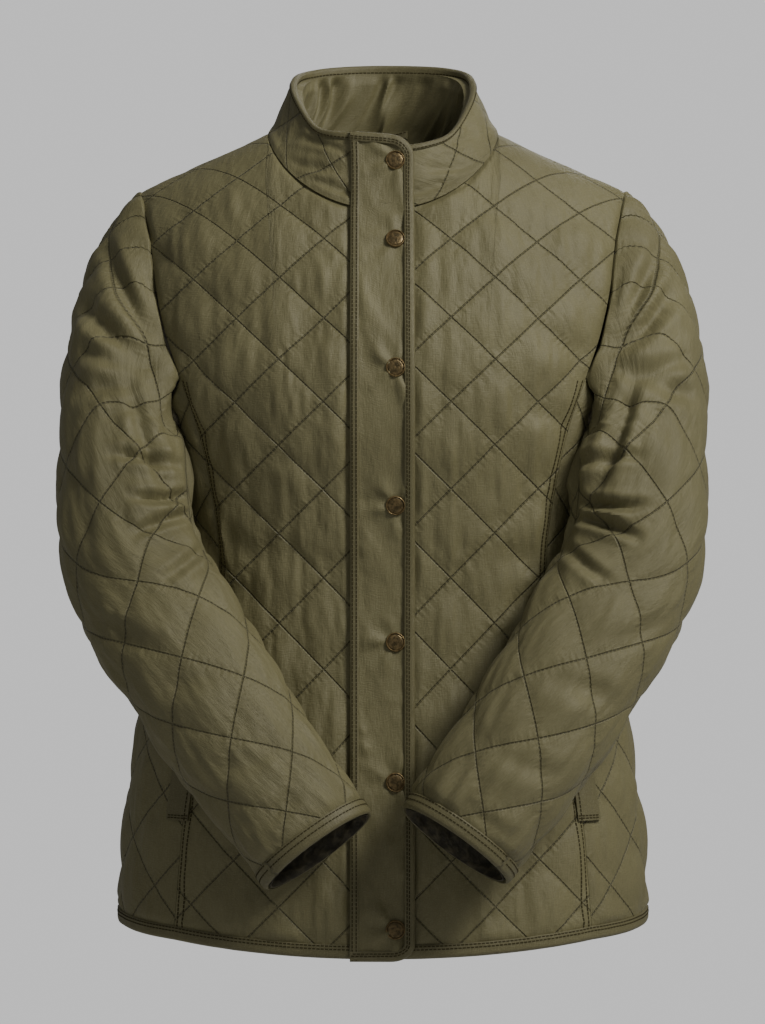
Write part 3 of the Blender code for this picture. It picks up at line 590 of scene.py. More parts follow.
class Finish:
    """A finish whose material is built at its first use and then shared."""

    name: str

    def make(self) -> bpy.types.Material:
        """Return the material."""
        return bpy.data.materials.get(self.name) or self.dress()

    def dress(self) -> bpy.types.Material:
        """Build the material."""
        raise NotImplementedError


@dataclass(frozen=True)
class ClothFinish(Finish):
    """A woven cloth: plain weave, slight colour drift, fine puckers and, if quilted, its stitch lines."""

    name: str
    colour: Colour
    deep: Colour
    thread: Colour
    # Colour of the stitch dashes on the quilting lines: the darker thread, with painted shade in the needle
    # pits.
    dark: Colour = (0.040, 0.036, 0.016, 1.0)
    roughness: float = 0.58
    uneven: float = 0.14
    sheen: float = 0.06
    sheen_tint: Colour = (0.80, 0.78, 0.66, 1.0)
    weave: float = 0.0010
    pucker: float = 0.0009
    slubs: float = 0.0005
    drift_scale: float = 9.0
    fleck_scale: float = 900.0
    pucker_scale: float = 150.0
    slub_scales: tuple[float, float] = (150.0, 120.0)
    slub_stretch: float = 7.0
    quilted: bool = False
    line_pitch: float = 0.0495
    stitch_pitch: float = 0.0032
    stitch_width: float = 0.0011
    groove: float = 0.022
    groove_depth: float = 0.0008
    gathers: float = 0.0013
    # How strongly painted shade darkens the cloth along the quilting grooves.
    groove_painted_shade: float = 0.35
    # How strongly the stitch dashes darken: partly the darker thread, partly painted shade in the needle pits.
    hole_thread_and_painted_shade: float = 0.52

    def dress(self) -> bpy.types.Material:
        """Build the material."""
        bench = Bench(self.name, self.roughness)
        cloth = bench.cloth_map("cloth")
        turns = math.tau / self.weave
        over, under = (bench.math("SINE", bench.times(part, turns)) for part in bench.parts(cloth))
        weave = bench.math("MULTIPLY_ADD", bench.times(over, under), 0.5, 0.5)
        drift = bench.noise(cloth, self.drift_scale, 3.0)
        fleck = bench.noise(cloth, self.fleck_scale, 1.0)
        crinkle = bench.noise(cloth, self.pucker_scale, 2.0, 0.35)
        slub = bench.noise(bench.scaled(cloth, (1.0, self.slub_stretch, 1.0)), self.slub_scales[0], 2.0)
        warp = bench.noise(bench.scaled(cloth, (self.slub_stretch, 1.0, 1.0)), self.slub_scales[1], 2.0)
        threads = bench.times(bench.math("ADD", slub, warp), 0.5)
        base = bench.mix(bench.span(drift, 0.30, 0.72), self.deep, self.colour)
        base = bench.mix(bench.times(bench.span(fleck, 0.35, 0.75), 0.40), base, self.thread)
        base = bench.mix(bench.times(bench.span(threads, 0.56, 0.42), 0.45), base, self.deep)
        normal = bench.bump(crinkle, self.pucker)
        normal = bench.bump(threads, self.slubs, 1.0, normal)
        normal = bench.bump(weave, self.weave * 0.10, 0.7, normal)
        if self.quilted:
            near, hole, gather = self.quilting(bench)
            # Painted shade: the cloth turns towards the deep olive near each quilting line, standing in for
            # the shade in the stitched grooves.
            base = bench.mix(bench.times(near, self.groove_painted_shade), base, self.deep)
            # The dashes on each line are painted dark: partly the darker thread, partly painted shade in the
            # needle pits.
            base = bench.mix(bench.times(hole, self.hole_thread_and_painted_shade), base, self.dark)
            groove = bench.math("ADD", bench.times(hole, 0.8), near)
            normal = bench.bump(gather, self.gathers, 1.0, normal)
            normal = bench.bump(bench.times(groove, -1.0), self.groove_depth, 1.0, normal)
        rough = bench.math("MULTIPLY_ADD", crinkle, self.uneven, self.roughness - self.uneven / 2)
        bench.put(bench.shader.inputs["Roughness"], rough)
        bench.set(Sheen_Weight=self.sheen, Sheen_Roughness=0.45, Sheen_Tint=self.sheen_tint)
        bench.set(Specular_IOR_Level=0.42)
        return bench.dressed(base, normal)

    def quilting(self, bench: Bench) -> tuple[object, object, object]:
        """Draw the grooves and the stitches along the quilting lines.

        Args:
            bench: The material's bench.

        Returns:
            How near each point is to a line, whether it lies on a needle hole, and the small gathers
            that the thread pulls across the line.
        """
        quilt = bench.cloth_map("quilt")
        lines, half = bench.parts(quilt), 0.5
        wide = self.stitch_width / 2 / self.line_pitch
        stitches = self.line_pitch / self.stitch_pitch
        nears, holes, gathers = [], [], []
        for across, along in ((0, 1), (1, 0)):
            off = bench.math("PINGPONG", lines[across], half)
            beat = bench.math("PINGPONG", bench.times(lines[along], stitches), half)
            nears.append(bench.math("SUBTRACT", 1.0, bench.span(off, 0.0, self.groove)))
            on_line = bench.math("SUBTRACT", 1.0, bench.span(off, wide * 0.5, wide * 1.4))
            holes.append(bench.times(on_line, bench.span(beat, 0.36, 0.26)))
            stretch = (5.0, 1.0, 1.0) if along == 0 else (1.0, 5.0, 1.0)
            pulled = bench.noise(bench.scaled(quilt, stretch), 2.2, 1.0)
            gathers.append(bench.times(pulled, bench.span(off, 0.22, 0.0)))
        return bench.math("MAXIMUM", *nears), bench.math("MAXIMUM", *holes), bench.math("ADD", *gathers)


@dataclass(frozen=True)
class LiningFinish(Finish):
    """The dark crinkled cloth inside, with painted highlights on its crinkles and painted shade between them.
    """

    name: str = "dark crinkled lining"
    colour: Colour = (0.034, 0.029, 0.016, 1.0)
    # Painted highlight: the lighter colour given to the crinkles' crests.
    light: Colour = (0.095, 0.082, 0.045, 1.0)
    crinkle: float = 0.0022

    def dress(self) -> bpy.types.Material:
        """Build the material."""
        bench = Bench(self.name, 0.72)
        cloth = bench.cloth_map("cloth")
        crush = bench.noise(cloth, 130.0, 4.0)
        # Painted light and shade: the noise that raises the crinkles also mixes the lighter colour onto their
        # crests and the dark one into their hollows.
        colour = bench.mix(bench.span(crush, 0.4, 0.7), self.colour, self.light)
        return bench.dressed(colour, bench.bump(crush, self.crinkle))


@dataclass(frozen=True)
class BrassFinish(Finish):
    """Aged brass: brown in the hollows, bright where it is rubbed, with a fine grained centre."""

    name: str = "aged brass"
    dark: Colour = (0.062, 0.046, 0.018, 1.0)
    bright: Colour = (0.300, 0.212, 0.092, 1.0)

    def dress(self) -> bpy.types.Material:
        """Build the material."""
        bench = Bench(self.name, 0.38, 0.60)
        place = bench.object_place()
        patina = bench.noise(place, 420.0, 4.0)
        grain = bench.noise(place, 900.0, 3.0)
        rubbed = bench.node("ShaderNodeNewGeometry").outputs["Pointiness"]
        share = bench.math("ADD", bench.span(patina, 0.35, 0.70), bench.span(rubbed, 0.505, 0.56))
        share = bench.times(share, 0.5)
        return bench.dressed(bench.mix(share, self.dark, self.bright), bench.bump(grain, 0.0003))


@dataclass(frozen=True)
class ThreadFinish(Finish):
    """The sewing thread of the topstitching."""

    name: str = "olive sewing thread"
    colour: Colour = (0.066, 0.056, 0.024, 1.0)
    dark: Colour = (0.030, 0.025, 0.011, 1.0)

    def dress(self) -> bpy.types.Material:
        """Build the material."""
        bench = Bench(self.name, 0.9)
        bench.set(Specular_IOR_Level=0.15)
        twist = bench.noise(bench.object_place(), 1800.0, 1.0)
        return bench.dressed(bench.mix(twist, self.dark, self.colour), bench.bump(twist, 0.0001))


@dataclass(frozen=True)
class StudioFinish(Finish):
    """The pale floor."""

    name: str = "pale floor"
    colour: Colour = (0.62, 0.62, 0.62, 1.0)

    def dress(self) -> bpy.types.Material:
        """Build the material."""
        bench = Bench(self.name, 0.8)
        drift = bench.noise(bench.object_place(), 1.5, 2.0)
        darker = tuple(0.95 * value for value in self.colour[:3]) + (1.0,)
        return bench.dressed(bench.mix(drift, darker, self.colour))


OLIVE = (0.183, 0.166, 0.078, 1.0)
OLIVE_DEEP = (0.140, 0.126, 0.056, 1.0)
OLIVE_THREAD = (0.225, 0.207, 0.108, 1.0)
QUILTED_CLOTH = ClothFinish("olive quilted cloth", OLIVE, OLIVE_DEEP, OLIVE_THREAD, quilted=True)
PLAIN_CLOTH = ClothFinish("olive plain cloth", OLIVE, OLIVE_DEEP, OLIVE_THREAD)
BINDING_OLIVE = (0.146, 0.131, 0.060, 1.0)
BINDING_DEEP = (0.112, 0.100, 0.044, 1.0)
BINDING_CLOTH = ClothFinish(
    "olive binding cloth", BINDING_OLIVE, BINDING_DEEP, OLIVE_THREAD, roughness=0.54, pucker=0.0005
)
LINING_CLOTH = LiningFinish()
BRASS = BrassFinish()
THREAD = ThreadFinish()


# --- making pieces ---
def placed(name: str, data: bpy.types.ID) -> bpy.types.Object:
    """Put some data in the scene as an object."""
    made = bpy.data.objects.new(name, data)
    bpy.context.scene.collection.objects.link(made)
    return made


def finished(name: str, bm: bmesh.types.BMesh, finishes: Sequence[Finish], sharp: float) -> bpy.types.Object:
    """Turn a closed bmesh into a smooth piece at the origin.

    Args:
        name: The piece's name.
        bm: The mesh, which is used up.
        finishes: The piece's finishes, in the order of its material numbers.
        sharp: Edges that turn more than this many degrees stay sharp.

    Returns:
        The piece.
    """
    mesh = bpy.data.meshes.new(name)
    bm.to_mesh(mesh)
    bm.free()
    for finish in finishes:
        mesh.materials.append(finish.make())
    mesh.shade_smooth()
    mesh.set_sharp_from_angle(angle=math.radians(sharp))
    return placed(name, mesh)


def enter(piece: bpy.types.Object, slot: Slot, *nodes: str) -> bpy.types.Object:
    """Let a piece ride on the jacket, hide the nodes that it stands for and log its slot."""
    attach(piece, "root")
    if nodes:
        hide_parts(*nodes)
    log.info("%s: %d faces, slot %s", piece.name, len(piece.data.polygons), slot.value)
    return piece


@dataclass
class Shell:
    """A thin closed shell between two equal grids of points."""

    name: str
    outer: Array
    inner: Array
    finish: Finish
    back_finish: Optional[Finish] = None
    form: Optional[Array] = None
    quilt: Optional[Array] = None
    closed: bool = False
    sharp: float = 50.0
    least_cut: float = 0.0101
    least_share: float = 0.31

    def build(self) -> bpy.types.Object:
        """Make the shell from a grid that is extruded inwards.

        Returns:
            The piece, with its maps.
        """
        rows, columns = self.outer.shape[:2]
        bm = bmesh.new()
        bmesh.ops.create_grid(bm, x_segments=columns - 1, y_segments=rows - 1, size=1.0)
        spot = bm.verts.layers.int.new("spot")
        inside = bm.verts.layers.int.new("inside")
        for index, (vert, place) in enumerate(zip(bm.verts, self.outer.reshape(-1, 3).tolist())):
            vert[spot] = index
            vert.co = place
        if self.closed:
            bmesh.ops.remove_doubles(bm, verts=bm.verts, dist=FACE_STEP / 10)
        extruded = bmesh.ops.extrude_face_region(bm, geom=list(bm.faces))
        places = self.inner.reshape(-1, 3).tolist()
        for item in extruded["geom"]:
            if isinstance(item, bmesh.types.BMVert):
                item.co = places[item[spot]]
                item[inside] = 1
        bmesh.ops.recalc_face_normals(bm, faces=bm.faces)
        if self.back_finish is not None:
            for face in bm.faces:
                face.material_index = int(all(vert[inside] for vert in face.verts))
        finishes = [self.finish] + ([self.back_finish] if self.back_finish else [])
        piece = finished(self.name, bm, finishes, self.sharp)
        self.lay_maps(piece.data)
        return piece

    def lay_maps(self, mesh: bpy.types.Mesh) -> None:
        """Write the cloth and quilting maps, then drop the working layers."""
        spots = np.empty(len(mesh.vertices), np.int32)
        mesh.attributes["spot"].data.foreach_get("value", spots)
        corners = np.empty(len(mesh.loops), np.int32)
        mesh.loops.foreach_get("vertex_index", corners)
        laid = self.outer if self.form is None else self.form
        maps = {"cloth": np.stack([run_lengths(laid, 1), run_lengths(laid, 0)], axis=-1)}
        if self.quilt is not None:
            maps["quilt"] = self.quilt
        for name, values in maps.items():
            layer = mesh.uv_layers.new(name=name)
            flat = values.reshape(-1, 2)[spots[corners]].astype(np.float32)
            layer.data.foreach_set("uv", flat.ravel())
        mesh.attributes.remove(mesh.attributes["spot"])
        mesh.attributes.remove(mesh.attributes["inside"])

    def sew(self, slot: Slot, node: str, turned: float = 0.0) -> None:
        """Make the piece and state its cut: its width and length laid flat, and its area.

        Args:
            slot: The piece's slot.
            node: The node that it stands for.
            turned: Width that a fold takes round an edge.
        """
        piece = enter(self.build(), slot, node)
        middle = (self.outer + self.inner) / 2
        width = float(run_lengths(middle, 1)[:, -1].max())
        length = float(run_lengths(middle, 0)[-1].max())
        along, up = np.diff(middle, axis=1)[:-1], np.diff(middle, axis=0)[:, :-1]
        area = float(np.linalg.norm(np.cross(along, up), axis=-1).sum())
        area += turned * width
        width, length = max(width, self.least_cut), max(length + turned, self.least_cut)
        area = min(max(area, self.least_share * width * length), width * length)
        log.info("%s cut: %.4f by %.4f m, %.4f m2", piece.name, width, length, area)


@dataclass
class Stitching:
    """Rows of topstitches in one joined piece."""

    name: str
    pitch: float = 0.0033
    length: float = 0.0024
    width: float = 0.0009
    height: float = 0.0006
    rows: list[tuple[Array, Array]] = field(default_factory=list)

    def add(self, grid: Array, normals: Array, lines: Sequence[int]) -> None:
        """Add a row of stitches along each of these lines of a grid with the given normals."""
        self.rows.extend((grid[line], normals[line]) for line in lines)

    def add_up(self, grid: Array, normals: Array, columns: Sequence[int]) -> None:
        """Add a row of stitches up each of these columns of a grid."""
        self.add(grid.swapaxes(0, 1), normals.swapaxes(0, 1), columns)

    def build(self, slot: Slot) -> bpy.types.Object:
        """Sew every row.

        Args:
            slot: The slot that the thread is listed under.

        Returns:
            The piece.
        """
        bm = bmesh.new()
        for path, normals in self.rows:
            run = run_lengths(path[None], 1)[0]
            stops = np.arange(self.pitch / 2, run[-1] - self.pitch / 2, self.pitch)
            spots, ups, ahead = (
                np.stack([np.interp(at, run, values[:, axis]) for axis in range(3)], axis=-1)
                for at, values in ((stops, path), (stops, normals), (stops + self.pitch / 4, path))
            )
            ways = unit(ahead - spots)
            ups = unit(ups - ways * np.sum(ways * ups, axis=-1, keepdims=True))
            sides = np.cross(ups, ways)
            for spot, way, side, up in zip(spots, ways, sides, ups):
                turn = Matrix((way * self.length, side * self.width, up * self.height)).transposed()
                matrix = turn.to_4x4()
                matrix.translation = Vector(spot)
                bmesh.ops.create_cube(bm, size=1.0, matrix=matrix)
        bmesh.ops.recalc_face_normals(bm, faces=bm.faces)
        return enter(finished(self.name, bm, [THREAD], 80.0), slot)


def rounded_end(share: Array, start: float) -> Array:
    """Thickness left near a folded edge: full up to the start, then rounding off to little."""
    into = np.clip((share - start) / (1 - start), 0.0, 1.0)
    return np.sqrt(np.maximum(1 - into**2, 0.02))


def folded_edge(
    surface: Array, normals: Array, wall: float, crown: float, start: float
) -> tuple[Array, Array]:
    """Outer and inner faces of a binding folded over an edge at the last row of a grid.

    Args:
        surface: The grid of the outer face's points, with the free edge in its last row.
        normals: The grid's outward normals.
        wall: The binding's thickness.
        crown: How far its middle stands proud.
        start: The share of its width where the fold starts to round.

    Returns:
        The outer and the inner grid.
    """
    rows = surface.shape[0]
    share = np.linspace(0.0, 1.0, rows)[:, None, None]
    swell = crown * swelled(share)
    thick = wall * rounded_end(share, start)
    middle = surface - normals * wall / 2
    return middle + normals * (thick / 2 + swell), middle - normals * (thick / 2 + swell * 0.4)


# --- the quilting ---
@dataclass(frozen=True)
class Quilting:
    """Diamonds of stitched lines. Lines lie where either line number is whole."""

    half_diagonal: float = 0.0351
    pillow: float = 0.0036
    sink: float = 0.0014
    pinch: float = 0.0013
    seam_reach: float = 0.0065
    seam_sink: float = 0.9
    fullness: float = 2.4
    roundness: float = 0.8
    uneven: float = 0.16
    by_cell: tuple[float, float] = (3.7, 5.3)
    wrinkles: tuple[float, float] = (4.3, 0.9)
    fine_wrinkles: tuple[float, float] = (7.9, 1.7)
    fine_share: float = 0.6
    line_share: float = 0.35

    def lines(self, columns: Array, rows: Array) -> Array:
        """Line numbers at places given in half diagonals across and up."""
        columns, rows = np.broadcast_arrays(columns, rows)
        return np.stack([(columns + rows) / 2, (columns - rows) / 2], axis=-1)

    def relief(self, lines: Array, edge: Array, seed: int) -> Array:
        """Height of the padded cloth over its form.

        Args:
            lines: Line numbers at each point.
            edge: Distance to the nearest seam.
            seed: The panel's own pattern of small wrinkles.

        Returns:
            How far each point stands out.
        """
        share = np.abs(lines - np.round(lines)) * 2
        swell = (1 - (1 - share) ** self.fullness) ** self.roundness
        puff = swell[..., 0] * swell[..., 1]
        cell = soft_noise(*(np.floor(lines[..., part]) * self.by_cell[part] for part in (0, 1)), seed)
        across = lines[..., 0] + lines[..., 1]
        up = lines[..., 0] - lines[..., 1]
        wide, high = self.wrinkles
        wrinkle = soft_noise(across * wide, up * high + soft_noise(across, up, seed + 1), seed + 2)
        wide, high = self.fine_wrinkles
        wrinkle += self.fine_share * soft_noise(across * wide, up * high, seed + 3)
        pinch = self.pinch * wrinkle * (self.line_share + (1 - self.line_share) * puff)
        height = self.pillow * puff * (1 + self.uneven * cell) + pinch
        at_seam = ease(edge / self.seam_reach)
        return (height - self.sink) * at_seam - self.sink * self.seam_sink * (1 - at_seam)


QUILTING = Quilting()


@dataclass
class QuiltedPanel:
    """One quilted cloth panel on a grid of its form."""

    name: str
    node: str
    points: Array
    middle: Array
    lines: Array
    creases: Sequence[Crease]
    seed: int
    wall: float = 0.0034
    drift: float = 0.0024
    drift_size: float = 0.070
    closed_normals: Optional[Array] = None
    calm_start: float = 0.012
    pillow_share: float = 1.0
    shoulder_calm: float = 0.0
    covered: float = 0.0
    back_creases: Sequence[Crease] = ()
    seam_calm: float = 0.012
    shoulder_reach: float = 0.060
    evenings: int = 4

    def form(self) -> tuple[Array, Array]:
        """The creased form and its normals.

        Returns:
            The points of the form's outer face and their normals.
        """
        normals = self.closed_normals
        if normals is None:
            normals = evened(grid_normals(self.points, self.middle), self.evenings)
        out, height = np.abs(self.points[..., 0]), self.points[..., 2]
        facing_front = ease(0.5 - 1.2 * normals[..., 1])
        run = run_lengths(self.points, 0)
        relief = crease_relief(self.creases, out, height, self.seed) * facing_front
        if self.back_creases:
            relief += crease_relief(self.back_creases, out, height, self.seed + 9) * (1 - facing_front)
        places = self.points / self.drift_size
        relief += self.drift * soft_noise(places[..., 0] + places[..., 1], places[..., 2], self.seed + 5)
        relief = relief * ease(self.edge() / self.seam_calm) * ease(run / self.calm_start)
        return self.points + normals * relief[..., None], normals

    def edge(self) -> Array:
        """Distance from each point to the nearest edge of the panel."""
        across, up = run_lengths(self.points, 1), run_lengths(self.points, 0)
        nearest = np.minimum.reduce([across, across[:, -1:] - across, up, up[-1:] - up])
        if self.covered:
            nearest = np.minimum(nearest, np.maximum(np.abs(self.points[..., 0]) - self.covered, 0.0))
        return nearest

    def build(self) -> tuple[Array, Array]:
        """Make the panel.

        Returns:
            The outer face's points and normals, which the topstitching follows.
        """
        form, normals = self.form()
        relief = QUILTING.relief(self.lines, self.edge(), self.seed) * self.pillow_share
        if self.shoulder_calm:
            across, height = np.abs(self.points[..., 0]), self.points[..., 2]
            drop = BODY.ridge(np.maximum(across, BODY.neck_x)) - height
            relief *= lerp(self.shoulder_calm, 1.0, ease(drop / self.shoulder_reach))
        outer = form + normals * relief[..., None]
        inner = form - normals * self.wall
        shell = Shell(self.name, outer, inner, QUILTED_CLOTH, LINING_CLOTH, self.points, self.lines)
        shell.sew(Slot.QUILTED, self.node)
        return outer, normals


# --- the body ---
PRINCESS_SEAM, SIDE_SEAM, WHOLE_ARMHOLE = 6.0, 10.0, 16.0


@dataclass
class BodyForm:
    """The body's surface, worked out from level sections and the cut's own lines."""

    neck_x: float = 0.094
    shoulder_x: float = 0.198
    slope: float = math.tan(math.radians(20.3))
    roll: float = 0.095
    squareness: float = 2.3
    front_neck_drop: float = 0.060
    back_neck_rise: float = 0.004
    neck_lift: float = 0.0080
    ridge_round: float = 0.018
    hem_front: float = -0.651
    hem_back: float = -0.654
    hem_rise: float = 0.018
    hem_binding: float = 0.0098
    princess_top: float = -0.195
    underarm: float = -0.235
    split: float = 11 / 17

    def __post_init__(self) -> None:
        """Make the curves of the tables."""
        self.half_width = column_curve(BODY_SECTIONS, "half_width")
        self.front_depth = column_curve(BODY_SECTIONS, "front_depth")
        self.back_depth = column_curve(BODY_SECTIONS, "back_depth")
        self.front_edge = column_curve(FRONT_EDGE, "across")
        self.back_armhole = column_curve(BACK_ARMHOLE, "angle")
        self.quilt_row = column_curve(QUILT_ROWS, "row")

    def ridge(self, across: Array) -> Array:
        """Height of the shoulder line at a distance from the middle."""
        across = np.hypot(across, self.ridge_round)
        lift = self.neck_lift * (self.shoulder_x - across) / (self.shoulder_x - self.neck_x)
        return (self.neck_x - across) * self.slope + lift

    def neck_front(self, across: Array) -> Array:
        """Height of the front neckline."""
        share = np.minimum(np.abs(across) / self.neck_x, 1.0)
        return -self.front_neck_drop * (1 - share**2.2) ** 0.8 + self.neck_lift * share**14

    def neck_back(self, across: Array) -> Array:
        """Height of the back neckline."""
        share = np.minimum(np.abs(across) / self.neck_x, 1.0)
        return self.back_neck_rise * (1 - share**2) + self.neck_lift * share**6

    def roll_angle(self, ridge: Array, height: Array) -> Array:
        """Angle along the shoulder's roll."""
        drop = np.maximum(ridge - height, 0.0) / self.roll
        return np.where(drop < 1, np.arccos(1 - np.minimum(drop, 1.0)), math.pi / 2 + drop - 1)

    def roll_height(self, ridge: Array, angle: Array) -> Array:
        """Height at an angle along the roll."""
        drop = np.where(angle < math.pi / 2, 1 - np.cos(angle), 1 + angle - math.pi / 2)
        return ridge - self.roll * drop

    def roll_share(self, angle: Array) -> Array:
        """Share of the full depth at an angle along the roll."""
        return np.where(angle < math.pi / 2, np.sin(angle), 1.0)

    def section_share(self, across: Array, height: Array) -> Array:
        """Share of the section's depth at a distance from the middle."""
        ratio = np.minimum(np.abs(across) / self.half_width(height), 1.0)
        return (1 - ratio**self.squareness) ** (1 / self.squareness)

    def hem_height(self, across: Array, low: float) -> Array:
        """Height of the hem at a distance from the middle."""
        return low + self.hem_rise * np.minimum(np.abs(across) / self.half_width(low), 1.0) ** 2

    def climb(self, ridge: Array, low: Array, middle: float, top: Array, v: Array) -> Array:
        """Angle along a column, from the hem over the split to the top."""
        angles = [self.roll_angle(ridge, height) for height in (low, middle, top)]
        below = lerp(angles[0], angles[1], np.minimum(v / self.split, 1.0))
        above = lerp(angles[1], angles[2], np.maximum(v - self.split, 0.0) / (1 - self.split))
        return np.where(v <= self.split, below, above)

    def front(self, inner: float, top_x: Array, v: Array, lift: float) -> Array:
        """Points of a front.

        Args:
            inner: Where its inner edge lies.
            top_x: Where each column's top end lies.
            v: 0 at the hem, 1 at the top.
            lift: Height of the binding below it.

        Returns:
            The points.
        """
        ridge = self.ridge(top_x)
        neckline = np.minimum(self.neck_front(top_x) - SEAM_GAP, ridge)
        top = np.where(top_x > self.neck_x, ridge, neckline)
        share = (top_x - inner) / (self.shoulder_x - inner)
        low = self.hem_height(lerp(inner, self.front_edge(self.hem_front), share), self.hem_front) + lift
        angle = self.climb(ridge, low, self.princess_top, top, v)
        z = self.roll_height(ridge, angle)
        x = lerp(inner, self.front_edge(z) - HALF_GAP, share)
        y = -(HALF_GAP + self.roll_share(angle) * self.front_depth(z) * self.section_share(x, z))
        return stacked(x, y, z)

    def side(self, u: Array, v: Array, lift: float) -> Array:
        """Points of a side panel, u from the princess seam to the side seam."""
        top = self.princess_top + (self.underarm - self.princess_top) * np.sin(u * math.pi / 2) ** 0.9
        edge = self.front_edge(self.hem_front)
        low = self.hem_height(lerp(edge, self.half_width(self.hem_front), u), self.hem_front) + lift
        z = lerp(low, top, v)
        seam = (self.front_edge(z) + HALF_GAP) / self.half_width(z)
        turn = lerp(np.arccos(seam ** (self.squareness / 2)), 0.0, u)
        x = self.half_width(z) * np.cos(turn) ** (2 / self.squareness)
        y = -(HALF_GAP + self.front_depth(z) * np.maximum(np.sin(turn), 0.0) ** (2 / self.squareness))
        return stacked(x, y, z)

    def back(self, top_x: Array, v: Array, lift: float) -> Array:
        """Points of the back's half, top_x where each column's top end lies."""
        ridge = self.ridge(top_x)
        top = np.where(top_x > self.neck_x, ridge, self.neck_back(top_x) - SEAM_GAP)
        edge_top = math.pi / 2 - math.radians(BACK_ARMHOLE[-1].angle)
        wide = float(self.half_width(0.0))
        column = np.minimum(np.arcsin((top_x / wide) ** (self.squareness / 2)) / edge_top, 1.0)
        low = lerp(self.hem_back, self.hem_front, column)
        low = low + self.hem_rise * np.sin(column * math.pi / 2) ** 2 + lift
        angle = self.climb(ridge, low, self.underarm, top, v)
        z = self.roll_height(ridge, angle)
        edge = math.pi / 2 - np.radians(self.back_armhole(z)) - HALF_GAP / self.half_width(z)
        turn = column * np.where(v > self.split, edge, math.pi / 2)
        x = self.half_width(z) * np.maximum(np.sin(turn), 0.0) ** (2 / self.squareness)
        deep = self.roll_share(angle) * self.back_depth(z)
        y = HALF_GAP + deep * np.maximum(np.cos(turn), 0.0) ** (2 / self.squareness)
        return stacked(x, y, z)

    def rows_of(self, points: Array) -> Array:
        """Quilting rows at points of the body, with the shoulder's roll counted in."""
        angle = self.roll_angle(self.ridge(np.abs(points[..., 0])), points[..., 2])
        angle = np.minimum(angle, math.pi / 2)
        extra = self.roll * (math.pi / 2 - angle - np.cos(angle))
        return self.quilt_row(points[..., 2]) - extra / QUILTING.half_diagonal

    def middle(self, points: Array) -> Array:
        """Points inside the body at the points' heights."""
        return stacked(0.0, 0.0, np.minimum(points[..., 2], -0.12))

    def armhole(self, index: Array) -> tuple[Array, Array]:
        """The armhole on the +X side.

        Args:
            index: How far round from the shoulder, past the princess seam, the side seam and back.

        Returns:
            The seam's points and the body's normals there.
        """
        index = np.mod(index, WHOLE_ARMHOLE)
        high, inner = 1 - self.split, INNER_EDGES[1]
        behind = np.clip((index - SIDE_SEAM) / (WHOLE_ARMHOLE - SIDE_SEAM), 0, 1)
        surfaces = (
            (
                index <= PRINCESS_SEAM,
                lambda u, v: self.front(inner, lerp(inner, self.shoulder_x, u), v, self.hem_binding),
            ),
            ((index > PRINCESS_SEAM) & (index < SIDE_SEAM), lambda u, v: self.side(u, v, self.hem_binding)),
            (index >= SIDE_SEAM, lambda u, v: self.back(u * self.shoulder_x, v, self.hem_binding)),
        )
        places = (
            (np.ones_like(index), 1 - np.clip(index / PRINCESS_SEAM, 0, 1) * high),
            (np.clip((index - PRINCESS_SEAM) / (SIDE_SEAM - PRINCESS_SEAM), 0, 1), np.ones_like(index)),
            (np.ones_like(index), self.split + 1e-9 + behind * high),
        )
        points, normals = np.zeros(index.shape + (3,)), np.zeros(index.shape + (3,))
        for (here, surface), (u, v) in zip(surfaces, places):
            spot = surface(u, v)
            beside = surface(u, v) - surface(u - FACE_STEP, v)
            above = surface(u, v) - surface(u, v - FACE_STEP)
            normal = unit(np.cross(beside, above))
            flip = np.sign(np.sum(normal * (spot - self.middle(spot)), axis=-1, keepdims=True))
            points[here], normals[here] = spot[here], (normal * flip)[here]
        return points, normals


BODY = BodyForm()


def mirrored(points: Array, side: int) -> Array:
    """Points of the +X side as they are, and mirrored for the -X side."""
    return points * np.array([side, 1.0, 1.0])


